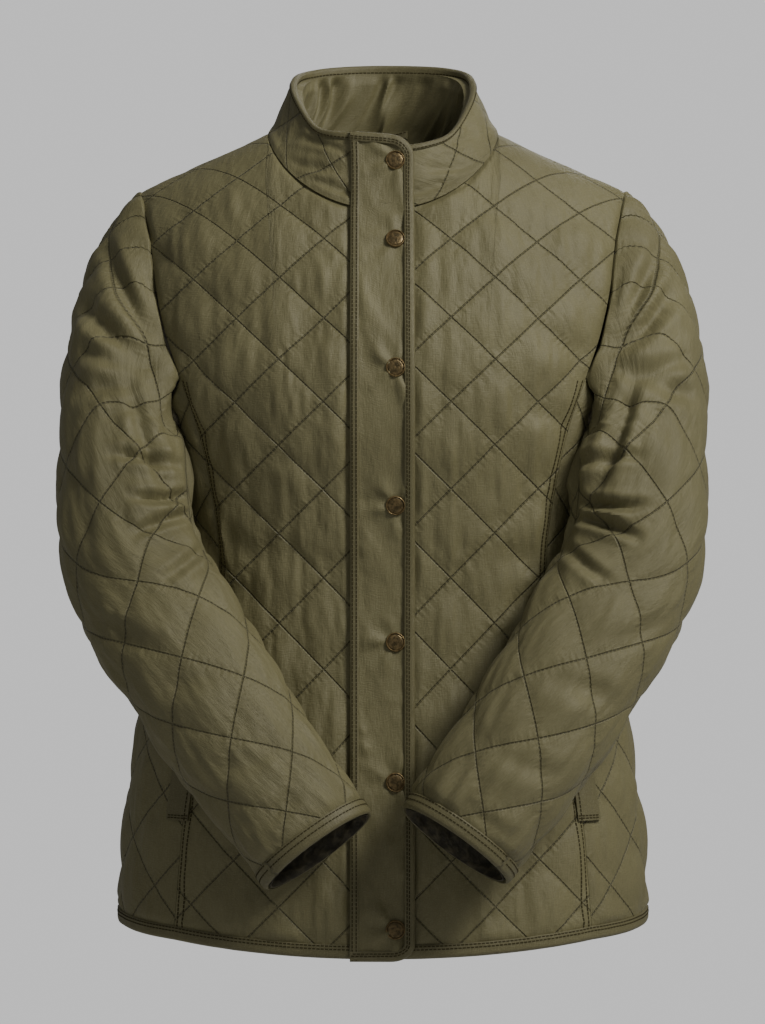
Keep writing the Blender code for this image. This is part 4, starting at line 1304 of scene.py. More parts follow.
@dataclass
class Body:
    """The five quilted body panels and the hem's edge."""

    quilt_starts: dict[int, float] = field(default_factory=lambda: {-1: 0.0472, 1: 0.0535})
    covers: dict[int, float] = field(default_factory=lambda: {-1: 0.0262, 1: 0.0250})
    shoulder_calm: float = 0.25
    neck_columns: int = 46
    shoulder_columns: int = 40
    side_columns: int = 30
    rows: int = 238
    side_rows: int = 170
    binding_wall: float = 0.0046
    binding_rows: int = 10
    overlap: float = 0.0012
    stitch_lift: float = 0.0002
    topstitch: Stitching = field(default_factory=lambda: Stitching("seam_topstitching"))
    hem_stitch: Stitching = field(default_factory=lambda: Stitching("hem_topstitching"))

    def top_columns(self, inner: float, count: float) -> Array:
        """Where the columns' top ends lie: from the inner edge over the neck point to the shoulder."""
        first = math.asin(inner / BODY.neck_x)
        turn = np.linspace(first, math.pi / 2, int(self.neck_columns * count), endpoint=False)
        neck = BODY.neck_x * np.sin(turn)
        shoulder = np.linspace(BODY.neck_x, BODY.shoulder_x, int(self.shoulder_columns * count))
        return np.concatenate([neck, shoulder])

    def make_front(self, side: int) -> None:
        """Make one front and the topstitching along its princess seam."""
        inner = INNER_EDGES[side]
        v = np.linspace(0.0, 1.0, self.rows)[:, None]
        points = mirrored(BODY.front(inner, self.top_columns(inner, 1.0)[None], v, BODY.hem_binding), side)
        columns = points[..., 0] * side - self.quilt_starts[side]
        lines = QUILTING.lines(columns / QUILTING.half_diagonal, BODY.rows_of(points))
        name = SIDE_NAMES[side]
        panel = QuiltedPanel(
            f"quilted_front_{name}", f"front_{name}", points, BODY.middle(points), lines, FRONT_CREASES,
            seed=11 + side, shoulder_calm=self.shoulder_calm, covered=self.covers[side],
        )
        outer, normals = panel.build()
        top = int(self.rows * BODY.split)
        self.topstitch.add_up(outer[:top] + normals[:top] * self.stitch_lift, normals[:top], (-2, -4))

    def make_side(self, side: int) -> None:
        """Make one side panel."""
        v, u = np.linspace(0.0, 1.0, self.side_rows)[:, None], np.linspace(0.0, 1.0, self.side_columns)[None]
        points = mirrored(BODY.side(u, v, BODY.hem_binding), side)
        across = run_lengths(points, 1) + 0.012
        lines = QUILTING.lines(across / QUILTING.half_diagonal, BODY.rows_of(points) + 0.35)
        name = SIDE_NAMES[side]
        panel = QuiltedPanel(
            f"quilted_side_{name}", f"side_{name}", points, BODY.middle(points), lines, (), seed=21 + side
        )
        panel.build()

    def make_back(self) -> None:
        """Make the back in one piece, from the -X side to the +X side."""
        v = np.linspace(0.0, 1.0, self.rows)[:, None]
        top_x = self.top_columns(0.0, 1.08)[None]
        half = BODY.back(top_x, v, BODY.hem_binding)
        points = np.concatenate([mirrored(half, -1)[:, ::-1], half[:, 1:]], axis=1)
        across = run_lengths(points, 1)
        middle = across[:, half.shape[1] - 1 : half.shape[1]]
        lines = QUILTING.lines((across - middle) / QUILTING.half_diagonal, BODY.rows_of(points))
        panel = QuiltedPanel(
            "quilted_back", "back", points, BODY.middle(points), lines, (), seed=31,
            back_creases=BACK_CREASES, shoulder_calm=self.shoulder_calm,
        )
        panel.build()

    def make_hem(self) -> None:
        """Make the edge that runs round below every panel, folded under at the bottom."""
        lifts = np.linspace(BODY.hem_binding + self.overlap, 0.0, self.binding_rows)
        rows = []
        for lift in lifts:
            row = []
            for side in (-1, 1):
                inner = INNER_EDGES[side]
                front = BODY.front(inner, self.top_columns(inner, 0.8)[None], np.zeros((1, 1)), lift)
                flank = BODY.side(np.linspace(0, 1, self.side_columns)[None], np.zeros((1, 1)), lift)
                back = BODY.back(self.top_columns(0.0, 0.9)[None, ::-1], np.zeros((1, 1)), lift)
                half = mirrored(np.concatenate([front[0], flank[0, 1:], back[0, 1:]]), side)
                row.append(half if side < 0 else half[::-1][1:])
            rows.append(np.concatenate(row))
        points = np.stack(rows)
        normals = grid_normals(points, BODY.middle(points))
        ripple = 0.0005 * soft_noise(run_lengths(points, 1) / 0.011, run_lengths(points, 0) / 0.02, 41)
        points = points + normals * ripple[..., None]
        outer, inner = folded_edge(points, normals, self.binding_wall, 0.0008, 0.7)
        shell = Shell("hem_edge", outer, inner, BINDING_CLOTH)
        shell.sew(Slot.BINDING, "hem_binding", turned=self.binding_wall)
        self.hem_stitch.add(outer, normals, (1, 3))

    def build(self) -> None:
        """Make every piece of the body."""
        for side in SIDE_NAMES:
            self.make_front(side)
            self.make_side(side)
        self.make_back()
        self.make_hem()
        self.topstitch.build(Slot.QUILTED)
        self.hem_stitch.build(Slot.BINDING)


# --- the sleeves ---
@dataclass
class SleeveForm:
    """The sleeve's surface: the armhole's own points at first, then rounded sections along the arm."""

    cap_share: float = 0.26
    cuff_start: float = 0.985
    clearance: float = 0.004
    lead_start: float = 0.0007
    lead_rise: float = 0.03
    cuff_lean: float = 0.0050
    lean_start: float = 0.86
    seam_lean: Place = (0.80, 0.0, 0.0)
    armpit_lean: Place = (0.45, -0.20, 0.20)
    armpit_fade: float = 0.0168
    frame_step: float = 0.004
    farthest: float = 0.12
    halvings: int = 18
    back_seam: tuple[float, float] = (295.0, 368.0)
    inner_seam: tuple[float, float] = (160.0, 195.0)
    under_first: float = 8.0
    under_last: float = 14.0
    loop: float = WHOLE_ARMHOLE
    shifts: dict[int, tuple[float, float]] = field(
        default_factory=lambda: {1: (0.0030, 0.0025), -1: (-0.0030, -0.0020)}
    )

    def __post_init__(self) -> None:
        """Make the curves of the table."""
        self.curves = {name: column_curve(SLEEVE_SECTIONS, name) for name in Arm._fields[1:]}

    def centre(self, along: Array, side: int) -> Array:
        """Centre line of the sleeve, with the cuff's own shift on each side."""
        along = np.clip(along, 0.0, 1.0)
        shift_x, shift_z = self.shifts[side]
        reach = np.maximum(along - 0.6, 0.0) / 0.4
        x, y, z = (self.curves[name](along) for name in ("x", "y", "z"))
        return stacked(x + shift_x * reach, y, z + shift_z * reach)

    def axis(self, along: Array, side: int) -> Array:
        """Direction of the centre line."""
        step = self.frame_step
        return unit(self.centre(along + step, side) - self.centre(along - step, side))

    def frame(self, along: Array, side: int) -> tuple[Array, Array]:
        """Outer and front direction of the sections."""
        axis = self.axis(along, side)
        hint = stacked(*(self.curves[name](along) for name in ("out_x", "out_y", "out_z")))
        out = unit(hint - axis * np.sum(hint * axis, axis=-1, keepdims=True))
        front = unit(np.cross(axis, out))
        return out, front * -np.sign(front[..., 1:2])

    def turns(self, index: Array, along: Array) -> Array:
        """Angle of a column, in degrees. Both seams travel round the arm."""
        travel = np.minimum(along / 0.8, 1.0)
        back, inner = lerp(*self.back_seam, travel), lerp(*self.inner_seam, travel)
        index = np.mod(index - self.under_first, self.loop)
        under = self.under_last - self.under_first
        below = lerp(inner, back, index / under)
        above = lerp(back, inner + 360.0, (index - under) / (self.loop - under))
        return np.where(index <= under, below, above)

    def clear(self, points: Array, clearance: Array) -> Array:
        """Slide points forward and outward until they are clear of the body.

        Args:
            points: The sleeve's points.
            clearance: How far each is kept from the body.

        Returns:
            The moved points.
        """
        z = points[..., 2]
        deep = np.where(points[..., 1] < 0, BODY.front_depth(z), BODY.back_depth(z))
        reach_x, reach_y = BODY.half_width(z) + clearance, deep + clearance
        way = unit(stacked(0.5 * points[..., 0] / reach_x, 1.3 * points[..., 1] / reach_y, 0.0))

        def inside(distance: Array) -> Array:
            """Whether points moved by a distance lie inside the section."""
            moved = points + way * distance[..., None]
            ratio_x, ratio_y = np.abs(moved[..., 0] / reach_x), np.abs(moved[..., 1] / reach_y)
            return ratio_x**BODY.squareness + ratio_y**BODY.squareness < 1

        near, far = np.zeros_like(z), np.full_like(z, self.farthest)
        stuck = inside(near)
        for _ in range(self.halvings):
            middle = (near + far) / 2
            within = inside(middle)
            near, far = np.where(within, middle, near), np.where(within, far, middle)
        push = np.where(stuck, far, 0.0) * ease((BODY.princess_top - z) / 0.02)
        return points + way * push[..., None]

    def surface(self, index: Array, along: Array, side: int) -> Array:
        """Points of the sleeve on the +X side.

        Args:
            index: Column numbers round the armhole.
            along: Shares of the way from the armhole to the cuff.
            side: Which sleeve's own shift to use.

        Returns:
            A grid with a row for each share and a column for each number.
        """
        seam, seam_normal = BODY.armhole(index)
        along_grid = along[:, None]
        out, front = self.frame(along, side)
        turn = np.radians(self.turns(index[None], along_grid))
        across = self.curves["half_out"](along_grid) * np.cos(turn)
        deep = self.curves["half_front"](along_grid) * np.sin(turn)
        section = self.centre(along, side)[:, None] + out[:, None] * across[..., None]
        section = section + front[:, None] * deep[..., None]
        below = ease((BODY.princess_top - seam[:, 2]) / self.armpit_fade)[:, None]
        upward = lerp(np.array(self.seam_lean), np.array(self.armpit_lean), below)
        reach = self.lead_start + self.lead_rise * np.minimum(along_grid, self.cap_share)
        start = seam[None] + unit(seam_normal + upward)[None] * reach[..., None]
        blend = ease(along_grid / self.cap_share)[..., None]
        points = lerp(start, section, blend)
        share = np.maximum(along_grid / self.cap_share - 0.5, 0.0)
        least = lerp(start[..., 0], section[..., 0], share)
        keep = ease((points[..., 2] - BODY.underarm) / 0.015)
        points[..., 0] += keep * np.maximum(least - points[..., 0], 0.0)
        lean = self.cuff_lean * ease((along_grid - self.lean_start) / (1 - self.lean_start)) * -np.sin(turn)
        points += self.axis(along, side)[:, None] * lean[..., None]
        near = self.clearance * np.minimum(along_grid / self.cap_share, 1.0) + self.lead_start
        return self.clear(points, near * np.ones_like(points[..., 0]))


SLEEVE = SleeveForm()


@dataclass
class Sleeve:
    """One sleeve: its upper and under pieces, its cuff's edge and the lining that shows in the cuff."""

    side: int
    per_step: int = 8
    rows: int = 232
    lining_start: float = 0.86
    lining_wall: float = 0.0012
    lining_room: float = 0.0014
    lining_crush: float = 0.0010
    binding_wall: float = 0.0030
    smoothings: int = 6
    tuck: float = 0.0036
    tuck_shares: tuple[float, ...] = (1.0, 0.5, 0.15)
    cuff_overlap: float = 0.0025
    cap_rows: float = 0.30
    cap_radius: float = 0.080
    bridge_end: float = 0.37
    armpit: float = 6.1
    armpit_reach: float = 2.6
    armpit_ease: float = 1.4
    pattern_radius: float = 0.054
    pattern_turns: dict[str, float] = field(default_factory=lambda: {"upper": 450.0, "under": 270.0})
    calm_start: float = 0.030

    def __post_init__(self) -> None:
        """Number the columns round the whole arm."""
        self.index = np.linspace(0.0, SLEEVE.loop, int(SLEEVE.loop) * self.per_step + 1)

    def ring(self, first: float, last: float, rows: int) -> tuple[Array, Array]:
        """A closed grid round the arm between two shares of its length, and its normals."""
        points = mirrored(SLEEVE.surface(self.index, np.linspace(first, last, rows), self.side), self.side)
        middle = points[:, :-1].mean(axis=1, keepdims=True)
        return points, grid_normals(points, middle, closed=True)

    def smoothed(self, points: Array) -> Array:
        """Even out a closed grid round the arm and along it, but for its first row."""
        for _ in range(self.smoothings):
            ring = points[:, :-1]
            ring = (np.roll(ring, 1, axis=1) + 2 * ring + np.roll(ring, -1, axis=1)) / 4
            ring[1:-1] = (ring[:-2] + 2 * ring[1:-1] + ring[2:]) / 4
            ring[0] = points[0, :-1]
            points = np.concatenate([ring, ring[:, :1]], axis=1)
        return points

    def bridged(self, points: Array, along: Array) -> Array:
        """Run the cloth straight from the seam to the arm near the front armpit."""
        last = int(np.searchsorted(along, self.bridge_end))
        share = np.linspace(0.0, 1.0, last + 1)[:, None, None]
        straight = lerp(points[:1], points[last : last + 1], share)
        hold = ease((self.armpit_reach - np.abs(self.index - self.armpit)) / self.armpit_ease)[None, :, None]
        points[: last + 1] = lerp(points[: last + 1], straight, hold)
        return points

    def whole(self) -> tuple[Array, Array, Array]:
        """The whole sleeve as a closed grid.

        Returns:
            Its points, its normals and the middle of each row.
        """
        along = np.linspace(0.0, SLEEVE.cuff_start, self.rows)
        points = self.bridged(SLEEVE.surface(self.index, along, self.side), along)
        points = mirrored(self.smoothed(points), self.side)
        middle = points[:, :-1].mean(axis=1, keepdims=True)
        normals = grid_normals(points, middle, closed=True)
        back = unit(points[0] - points[3])
        for row, share in enumerate(self.tuck_shares):
            points[row] += (back - normals[row]) * (self.tuck * share)
        return points, normals, middle

    def piece_columns(self, first: float, count: float) -> Array:
        """Grid columns of a piece that starts at one seam and runs to the other."""
        start = int(first) * self.per_step
        ring = int(SLEEVE.loop) * self.per_step
        return np.mod(np.arange(start, start + int(count) * self.per_step + 1), ring)

    def make_piece(self, grids: tuple[Array, Array, Array], kind: str, first: float, count: float) -> Array:
        """Make the upper or the under sleeve.

        Args:
            grids: The whole sleeve's points, normals and middles.
            kind: "upper" or "under".
            first: The column number where it starts.
            count: How many armhole steps wide it is.

        Returns:
            The piece's outer points and normals, stacked.
        """
        points, normals, middle = grids
        columns = self.piece_columns(first, count)
        cut, cut_normals = points[:, columns], normals[:, columns]
        for edge, beside in ((0, 1), (-1, -2)):
            cut[:, edge] += unit(cut[:, beside] - cut[:, edge]) * HALF_GAP
        along = np.linspace(0.0, SLEEVE.cuff_start, self.rows)[:, None]
        turn = SLEEVE.turns(columns[None] / self.per_step, along)
        radius = lerp(self.cap_radius, self.pattern_radius, ease(along / self.cap_rows))
        across = radius * np.radians(turn - self.pattern_turns[kind])
        length, own = run_lengths(middle, 0), run_lengths(cut, 0)
        cap = int(self.cap_rows * self.rows)
        up = np.where(along < self.cap_rows, length[cap] - own[cap] + own, length)
        lines = QUILTING.lines(across / QUILTING.half_diagonal, up / QUILTING.half_diagonal + 0.4)
        name = SIDE_NAMES[self.side]
        panel = QuiltedPanel(
            f"{kind}_sleeve_quilted_{name}", f"{kind}_sleeve_{name}", cut, middle, lines, SLEEVE_FRONT_CREASES,
            seed=51 + self.side + (5 if kind == "under" else 0), back_creases=SLEEVE_BACK_CREASES,
            closed_normals=cut_normals, calm_start=self.calm_start,
        )
        return np.stack(panel.build())

    def make_cuff(self, stitching: Stitching) -> None:
        """Make the cuff's folded edge and its topstitching."""
        name = SIDE_NAMES[self.side]
        ring, normals = self.ring(SLEEVE.cuff_start - self.cuff_overlap, 1.0, 10)
        outer, inner = folded_edge(ring, normals, self.binding_wall, 0.0007, 0.7)
        shell = Shell(f"cuff_edge_{name}", outer, inner, BINDING_CLOTH, closed=True)
        shell.sew(Slot.BINDING, f"cuff_binding_{name}", turned=self.binding_wall)
        stitching.add(outer, normals, (1, 4))

    def make_lining(self) -> None:
        """Make the crinkled lining that shows in the cuff."""
        points, normals = self.ring(self.lining_start, 1.0, 40)
        around, up = run_lengths(points, 1), run_lengths(points, 0)
        share = around / around[:, -1:]
        crush = soft_noise(share * 48, up / 0.014, 71) + 0.6 * soft_noise(share * 24, up / 0.006, 72)
        crush[:, -1] = crush[:, 0]
        deep = self.binding_wall + self.lining_room + self.lining_crush * crush
        outer = points - normals * deep[..., None]
        inner = outer - normals * self.lining_wall
        name = SIDE_NAMES[self.side]
        shell = Shell(f"cuff_lining_{name}", outer, inner, LINING_CLOTH, closed=True)
        shell.sew(Slot.LINING, f"sleeve_lining_{name}")

    def build(self, stitching: Stitching) -> None:
        """Make the sleeve's pieces."""
        grids = self.whole()
        under = SLEEVE.under_last - SLEEVE.under_first
        self.make_piece(grids, "upper", SLEEVE.under_last, SLEEVE.loop - under)
        self.make_piece(grids, "under", SLEEVE.under_first, under)
        self.make_cuff(stitching)
        self.make_lining()


# --- the collar ---
@dataclass
class CollarForm:
    """The stand collar's outer face, from the neckline to its rim."""

    hollow: float = 0.0015

    def __post_init__(self) -> None:
        """Make the curves of the tables."""
        self.rims = [column_curve(COLLAR_RIM, name, name != "across") for name in Rim._fields[1:]]
        self.under_rim = column_curve(UNDER_COLLAR_RIM, "share")

    def point(self, turn: Array, rise: Array) -> Array:
        """Points at a turn in degrees from the front and a rise of 0 at the neck, 1 at the rim."""
        turn, rise = np.broadcast_arrays(turn, rise)
        across = BODY.neck_x * np.sin(np.radians(turn))
        ridge = BODY.ridge(np.abs(across))
        front = turn <= 90.0
        z = np.where(front, BODY.neck_front(across), BODY.neck_back(across))
        angle = BODY.roll_angle(np.where(front, ridge, BODY.ridge(across)), z)
        deep = np.where(front, -BODY.front_depth(z), BODY.back_depth(z))
        y = BODY.roll_share(angle) * deep * BODY.section_share(across, z)
        y = y + np.where(front, -HALF_GAP, HALF_GAP)
        rim = stacked(*(curve(np.abs(turn)) for curve in self.rims))
        rim[..., 0] *= np.where(turn < 0, -1.0, 1.0)
        point = lerp(stacked(across, y, z), rim, rise[..., None])
        toward = unit(point * np.array([-1.0, -1.0, 0.0]))
        return point + toward * (4 * rise * (1 - rise) * self.hollow)[..., None]

    def turns(self, side: int, columns: int) -> Array:
        """Turns of the columns on one side, from the front to the middle of the back."""
        first = math.degrees(math.asin(INNER_EDGES[side] / BODY.neck_x))
        return np.linspace(first, 180.0, columns)

    def grid(self, low: float, high: float, rows: int, columns: int) -> Array:
        """A grid right round the collar between two shares of its height."""
        level = np.linspace(low, high, rows)[:, None]
        halves = []
        for side in (-1, 1):
            turn = self.turns(side, columns)[None]
            rim = np.ones_like(turn) if side < 0 else self.under_rim(turn)
            halves.append(mirrored(self.point(turn, level * rim), side))
        return np.concatenate([halves[0], halves[1][:, ::-1][:, 1:]], axis=1)


COLLAR = CollarForm()


@dataclass
class Collar:
    """The collar's quilted outside, its plain facing, its rim's edge and the hanger loop."""

    foot: float = 0.0
    foot_flare: float = 0.0016
    rim: float = 0.90
    wall: float = 0.0022
    facing_wall: float = 0.0015
    fold_size: tuple[float, float] = (0.015, 0.060)
    fold_depth: float = 0.0058
    fold_lean: float = 0.12
    fold_wander: float = 0.004
    fine_folds: tuple[float, float] = (0.009, 0.030)
    fine_share: float = 0.4
    rows: int = 34
    columns: int = 96
    loop_turns: tuple[float, float] = (166.0, 195.0)
    loop_span: tuple[float, float] = (0.15, 0.24)
    loop_wall: float = 0.0010
    loop_off: float = 0.0050
    loop_bow: float = 0.0022
    loop_fullness: float = 0.0016
    loop_sag: float = 0.0030

    def middle(self, points: Array) -> Array:
        """Points on the neck's axis."""
        return stacked(0.0, 0.0, points[..., 2])

    def make_outside(self) -> None:
        """Make the lightly quilted outer face."""
        points = COLLAR.grid(self.foot, self.rim, self.rows, self.columns)
        across = run_lengths(points, 1)[self.rows // 2][None]
        up = run_lengths(points, 0)
        flare = self.foot_flare * (1 - ease(up / 0.012))
        points = points + grid_normals(points, self.middle(points)) * flare[..., None]
        lines = QUILTING.lines(across / QUILTING.half_diagonal + 0.3, up / QUILTING.half_diagonal + 0.2)
        panel = QuiltedPanel(
            "collar_outside", "collar_outer", points, self.middle(points), lines, COLLAR_CREASES, seed=81,
            wall=self.wall, drift=0.0014, drift_size=0.026, pillow_share=0.50, calm_start=0.005,
        )
        panel.build()

    def make_facing(self) -> None:
        """Make the plain puckered cloth inside the collar."""
        points = COLLAR.grid(self.foot, self.rim, self.rows * 2, int(self.columns * 1.8))
        normals = grid_normals(points, self.middle(points))
        across, up = run_lengths(points, 1), run_lengths(points, 0)
        slant = across + self.fold_lean * up + self.fold_wander * sized_noise(across, up, (0.03, 0.03), 91)
        folds = 1 - 2.0 * np.sqrt(sized_noise(slant, up, self.fold_size, 92) ** 2 + 0.03)
        puckers = folds + self.fine_share * sized_noise(slant, up, self.fine_folds, 93)
        puckers *= ease(0.35 + up / 0.03) * ease((up[-1:] - up) / 0.010)
        depth = self.wall + SEAM_GAP
        folded = self.facing_wall + self.fold_depth * (puckers[..., None] + 1.2)
        outer = points - normals * depth
        shell = Shell("collar_inside", outer, points - normals * (depth + folded), PLAIN_CLOTH)
        shell.sew(Slot.PLAIN, "collar_facing")

    def make_edge(self, stitching: Stitching) -> None:
        """Make the rim's folded edge."""
        points = COLLAR.grid(self.rim - 0.012, 1.0, 10, self.columns * 2)
        normals = grid_normals(points, self.middle(points))
        whole = self.wall + SEAM_GAP + self.facing_wall + 0.0008
        outer, inner = folded_edge(points, normals, whole, 0.0007, 0.6)
        shell = Shell("collar_edge", outer, inner, BINDING_CLOTH)
        shell.sew(Slot.BINDING, "collar_binding", turned=whole)
        stitching.add(outer, normals, (2,))
        stitching.add(inner, -normals, (2,))

    def make_loop(self, stitching: Stitching) -> None:
        """Make the hanger loop, a flat tape that bows a little off the facing."""
        turns = np.linspace(*self.loop_turns, 40)
        rise = np.linspace(*self.loop_span, 9)[:, None]
        turned = np.where(turns <= 180.0, turns, 360.0 - turns)[None]
        points = COLLAR.point(turned, rise)
        points[..., 0] *= np.where(turns <= 180.0, -1.0, 1.0)[None]
        normals = grid_normals(points, self.middle(points))
        share = np.linspace(0.0, 1.0, 40)
        bow = self.loop_bow * np.sin(math.pi * share)
        bow = bow + self.loop_fullness * (1 - np.abs(2 * share - 1) ** 12)
        depth = self.wall + self.facing_wall + self.loop_off + bow[None, :, None]
        sag = np.array([0.0, 0.0, -self.loop_sag]) * (4 * share * (1 - share))[None, :, None]
        outer = points + sag - normals * depth
        inner = outer - normals * (self.loop_wall + 0.0005)
        shell = Shell("hanging_loop", outer, inner, BINDING_CLOTH)
        shell.sew(Slot.BINDING, "hanger_loop")
        stitching.add(inner, -normals, (1, 7))

    def build(self, stitching: Stitching) -> None:
        """Make the collar's pieces."""
        self.make_outside()
        self.make_facing()
        self.make_edge(stitching)
        self.make_loop(stitching)


# --- the front closure ---
@dataclass
class ClosureForm:
    """The closed front as a surface of (distance from the middle, length up from the hem)."""

    samples: int = 60

    def __post_init__(self) -> None:
        """Measure the length along the centre front."""
        self.heights = np.linspace(BODY.hem_front, -BODY.front_neck_drop, self.samples + 1)
        centre = self.front(np.zeros(self.samples + 1), self.heights)
        self.lengths = run_lengths(centre[None], 1)[0]
        self.neck = float(self.lengths[-1])
        rim, base = COLLAR.point(np.zeros(1), np.ones(1)), COLLAR.point(np.zeros(1), np.zeros(1))
        self.collar = float(np.linalg.norm(rim - base))

    def front(self, across: Array, height: Array) -> Array:
        """Points of the body's front at a distance from the middle and a height."""
        y = -(HALF_GAP + BODY.front_depth(height) * BODY.section_share(across, height))
        return stacked(across, y, height)

    def point(self, across: Array, length: Array) -> Array:
        """Points of the closed front."""
        height = np.interp(length, self.lengths, self.heights)
        height = height + np.minimum(length, 0.0)
        on_front = self.front(across, height)
        rise = np.maximum(length - self.neck, 0.0) / self.collar
        rim = math.degrees(1) * COLLAR_RIM[1].across / COLLAR_RIM[1].turn
        reach = lerp(BODY.neck_x, rim, np.minimum(rise, 1.0))
        on_collar = COLLAR.point(np.degrees(across / reach), rise)
        return np.where((length >= self.neck)[..., None], on_collar, on_front)

    def sample(self, across: Array, length: Array) -> tuple[Array, Array]:
        """Points and normals of the closed front, evened out over the neck's fold."""
        wide, long = 0.002, 0.006
        sideways = self.point(across + wide, length) - self.point(across - wide, length)
        up = self.point(across, length + long) - self.point(across, length - long)
        return self.point(across, length), unit(np.cross(sideways, up))


@dataclass
class FrontBand:
    """The plain band over the centre front, its edge and its tape."""

    form: ClosureForm
    left: float = -0.0258
    right: float = 0.0183
    binding: float = 0.0068
    tape: float = 0.0068
    lift: float = -0.0002
    wall: float = 0.0020
    binding_wall: float = 0.0038
    crown: float = 0.0007
    corner: float = 0.012
    top_drop: float = 0.0045
    foot: float = 0.0015
    overlap: float = 0.0014
    snap_pull: float = 0.0017
    pull_reach: float = 0.015
    pull_width: float = 0.011
    pulls_round: int = 5
    snap_dent: float = 0.0007
    dent_reach: float = 0.010
    diagonal: float = 0.0019
    diagonal_lean: tuple[float, float] = (0.55, 0.3)
    diagonal_size: tuple[float, float] = (0.013, 0.04)
    edge_ripple: float = 0.0014
    ripple_size: tuple[float, float] = (0.0075, 0.02)
    ripple_reach: float = 0.008
    drift: float = 0.0016
    drift_size: tuple[float, float] = (0.04, 0.022)
    hollow_share: float = 0.4
    tape_wall: float = 0.0009
    rows: int = 330

    def corner_drop(self, across: Array) -> Array:
        """Distance that a rounded corner lies below a square one."""
        into = np.maximum(across - (self.right - self.corner), 0.0)
        return self.corner - np.sqrt(np.maximum(self.corner**2 - into**2, 0.0)) * 0.999

    def ends(self, across: Array) -> tuple[Array, Array]:
        """Lengths up the centre front where the band starts and ends."""
        bottom = self.binding - self.foot + 0.6 * self.corner_drop(across)
        fall = self.top_drop * (across - self.left) / (self.right - self.left)
        top = self.form.neck + self.form.collar - self.binding - fall - self.corner_drop(across)
        return bottom, top

    def columns(self) -> Array:
        """Columns of the band, close together at the rounded corners."""
        straight = np.linspace(self.left, self.right - self.corner, 18, endpoint=False)
        turn = np.linspace(0.0, math.pi / 2, 12)
        return np.concatenate([straight, self.right - self.corner + self.corner * np.sin(turn)])

    def cells(self, columns: Array, rows: int) -> tuple[Array, Array]:
        """Flat grid of distances and lengths."""
        bottom, top = self.ends(columns)
        level = np.linspace(0.0, 1.0, rows)[:, None]
        length = lerp(bottom[None], top[None], level)
        return np.broadcast_to(columns, length.shape), length

    def pulls(self, across: Array, length: Array) -> Array:
        """Diagonal pulls from the snaps, and ripples along the sewn edges."""
        relief = np.zeros_like(length)
        for stop in snap_lengths():
            off, up = across - Snaps.across, length - stop
            reach = np.hypot(off, up)
            turn = np.arctan2(up, off)
            rays = np.cos(self.pulls_round * turn + 40 * stop)
            rays = rays * np.exp(-(((reach - self.pull_reach) / self.pull_width) ** 2))
            relief += self.snap_pull * rays - self.snap_dent * np.exp(-((reach / self.dent_reach) ** 2))
        slant, aside = length * self.diagonal_lean[0] + across, across - length * self.diagonal_lean[1]
        relief += self.diagonal * sized_noise(slant, aside, self.diagonal_size, 101)
        edge = np.minimum(across - self.left - self.tape, self.right - across)
        ripple = sized_noise(length, across, self.ripple_size, 102)
        relief += self.edge_ripple * ripple * np.exp(-np.maximum(edge, 0.0) / self.ripple_reach)
        relief += self.drift * sized_noise(length, across, self.drift_size, 103)
        relief *= ease((across - self.left - self.tape * 0.8) / 0.006)
        return np.where(relief < 0, relief * self.hollow_share, relief)

    def strip(
        self, name: str, node: str, cells: tuple[Array, Array], low: float, wall: float, crown: float = 0.0
    ) -> tuple[Array, Array]:
        """Make a strip that lies on the closed front, and return its outer points and normals."""
        across, length = cells
        points, normals = self.form.sample(across, length)
        relief = self.pulls(across, length)[..., None]
        share = np.linspace(-1.0, 1.0, across.shape[1])[None, :, None]
        swell = crown * np.sqrt(1 - np.abs(share) ** 3)
        outer = points + normals * (low + wall + relief + swell)
        inner = points + normals * (low + np.zeros_like(relief))
        finish, slot = (PLAIN_CLOTH, Slot.PLAIN) if node == "placket_band" else (BINDING_CLOTH, Slot.BINDING)
        shell = Shell(name, outer, inner, finish)
        shell.sew(slot, node)
        return outer, normals

    def make_edge(self, stitching: Stitching) -> None:
        """Make the folded edge round the band's top, free side and bottom."""
        columns = self.columns()
        across, length = self.cells(columns, self.rows)
        top = np.stack([across[-1], length[-1]], axis=-1)
        side = np.stack([across[1:-1, -1], length[1:-1, -1]], axis=-1)[::-1]
        bottom = np.stack([across[0], length[0]], axis=-1)[::-1]
        path = np.concatenate([top, side, bottom])
        ahead = unit(np.gradient(path, axis=0))
        away = np.stack([-ahead[:, 1], ahead[:, 0]], axis=-1)
        share = np.linspace(-self.overlap, self.binding, 10)[:, None, None]
        flat = path[None] + away[None] * share
        points, normals = self.form.sample(flat[..., 0], flat[..., 1])
        run = run_lengths(points, 1)
        ripple = 0.0004 * soft_noise(run / 0.008, run_lengths(points, 0) / 0.02, 111)
        points = points + normals * (self.lift + self.binding_wall + ripple)[..., None]
        outer, inner = folded_edge(points, normals, self.binding_wall, 0.0005, 0.55)
        shell = Shell("band_edge", outer, inner, BINDING_CLOTH)
        shell.sew(Slot.BINDING, "placket_binding", turned=self.binding_wall)
        stitching.add(outer, normals, (2, 4))

    def build(self, stitching: Stitching) -> None:
        """Make the band's pieces and their topstitching."""
        outer, normals = self.strip(
            "button_band", "placket_band", self.cells(self.columns(), self.rows), self.lift, self.wall
        )
        stitching.add_up(outer, normals, (-2,))
        tape = np.linspace(self.left, self.left + self.tape, 12)
        low = self.lift + self.wall - 0.0002
        across, length = self.cells(tape, self.rows)
        level = np.linspace(-1.0, 1.0, self.rows)[:, None]
        length = length + level * (self.binding - SEAM_GAP)
        cells = (across, length)
        outer, normals = self.strip("band_tape", "placket_tape", cells, low, self.tape_wall, self.crown)
        stitching.add_up(outer, normals, (3, 8))
        self.make_edge(stitching)


# --- the snaps ---
SNAP_STEPS = (0.1147, 0.1100, 0.1084, 0.1084, 0.1075, 0.0670)


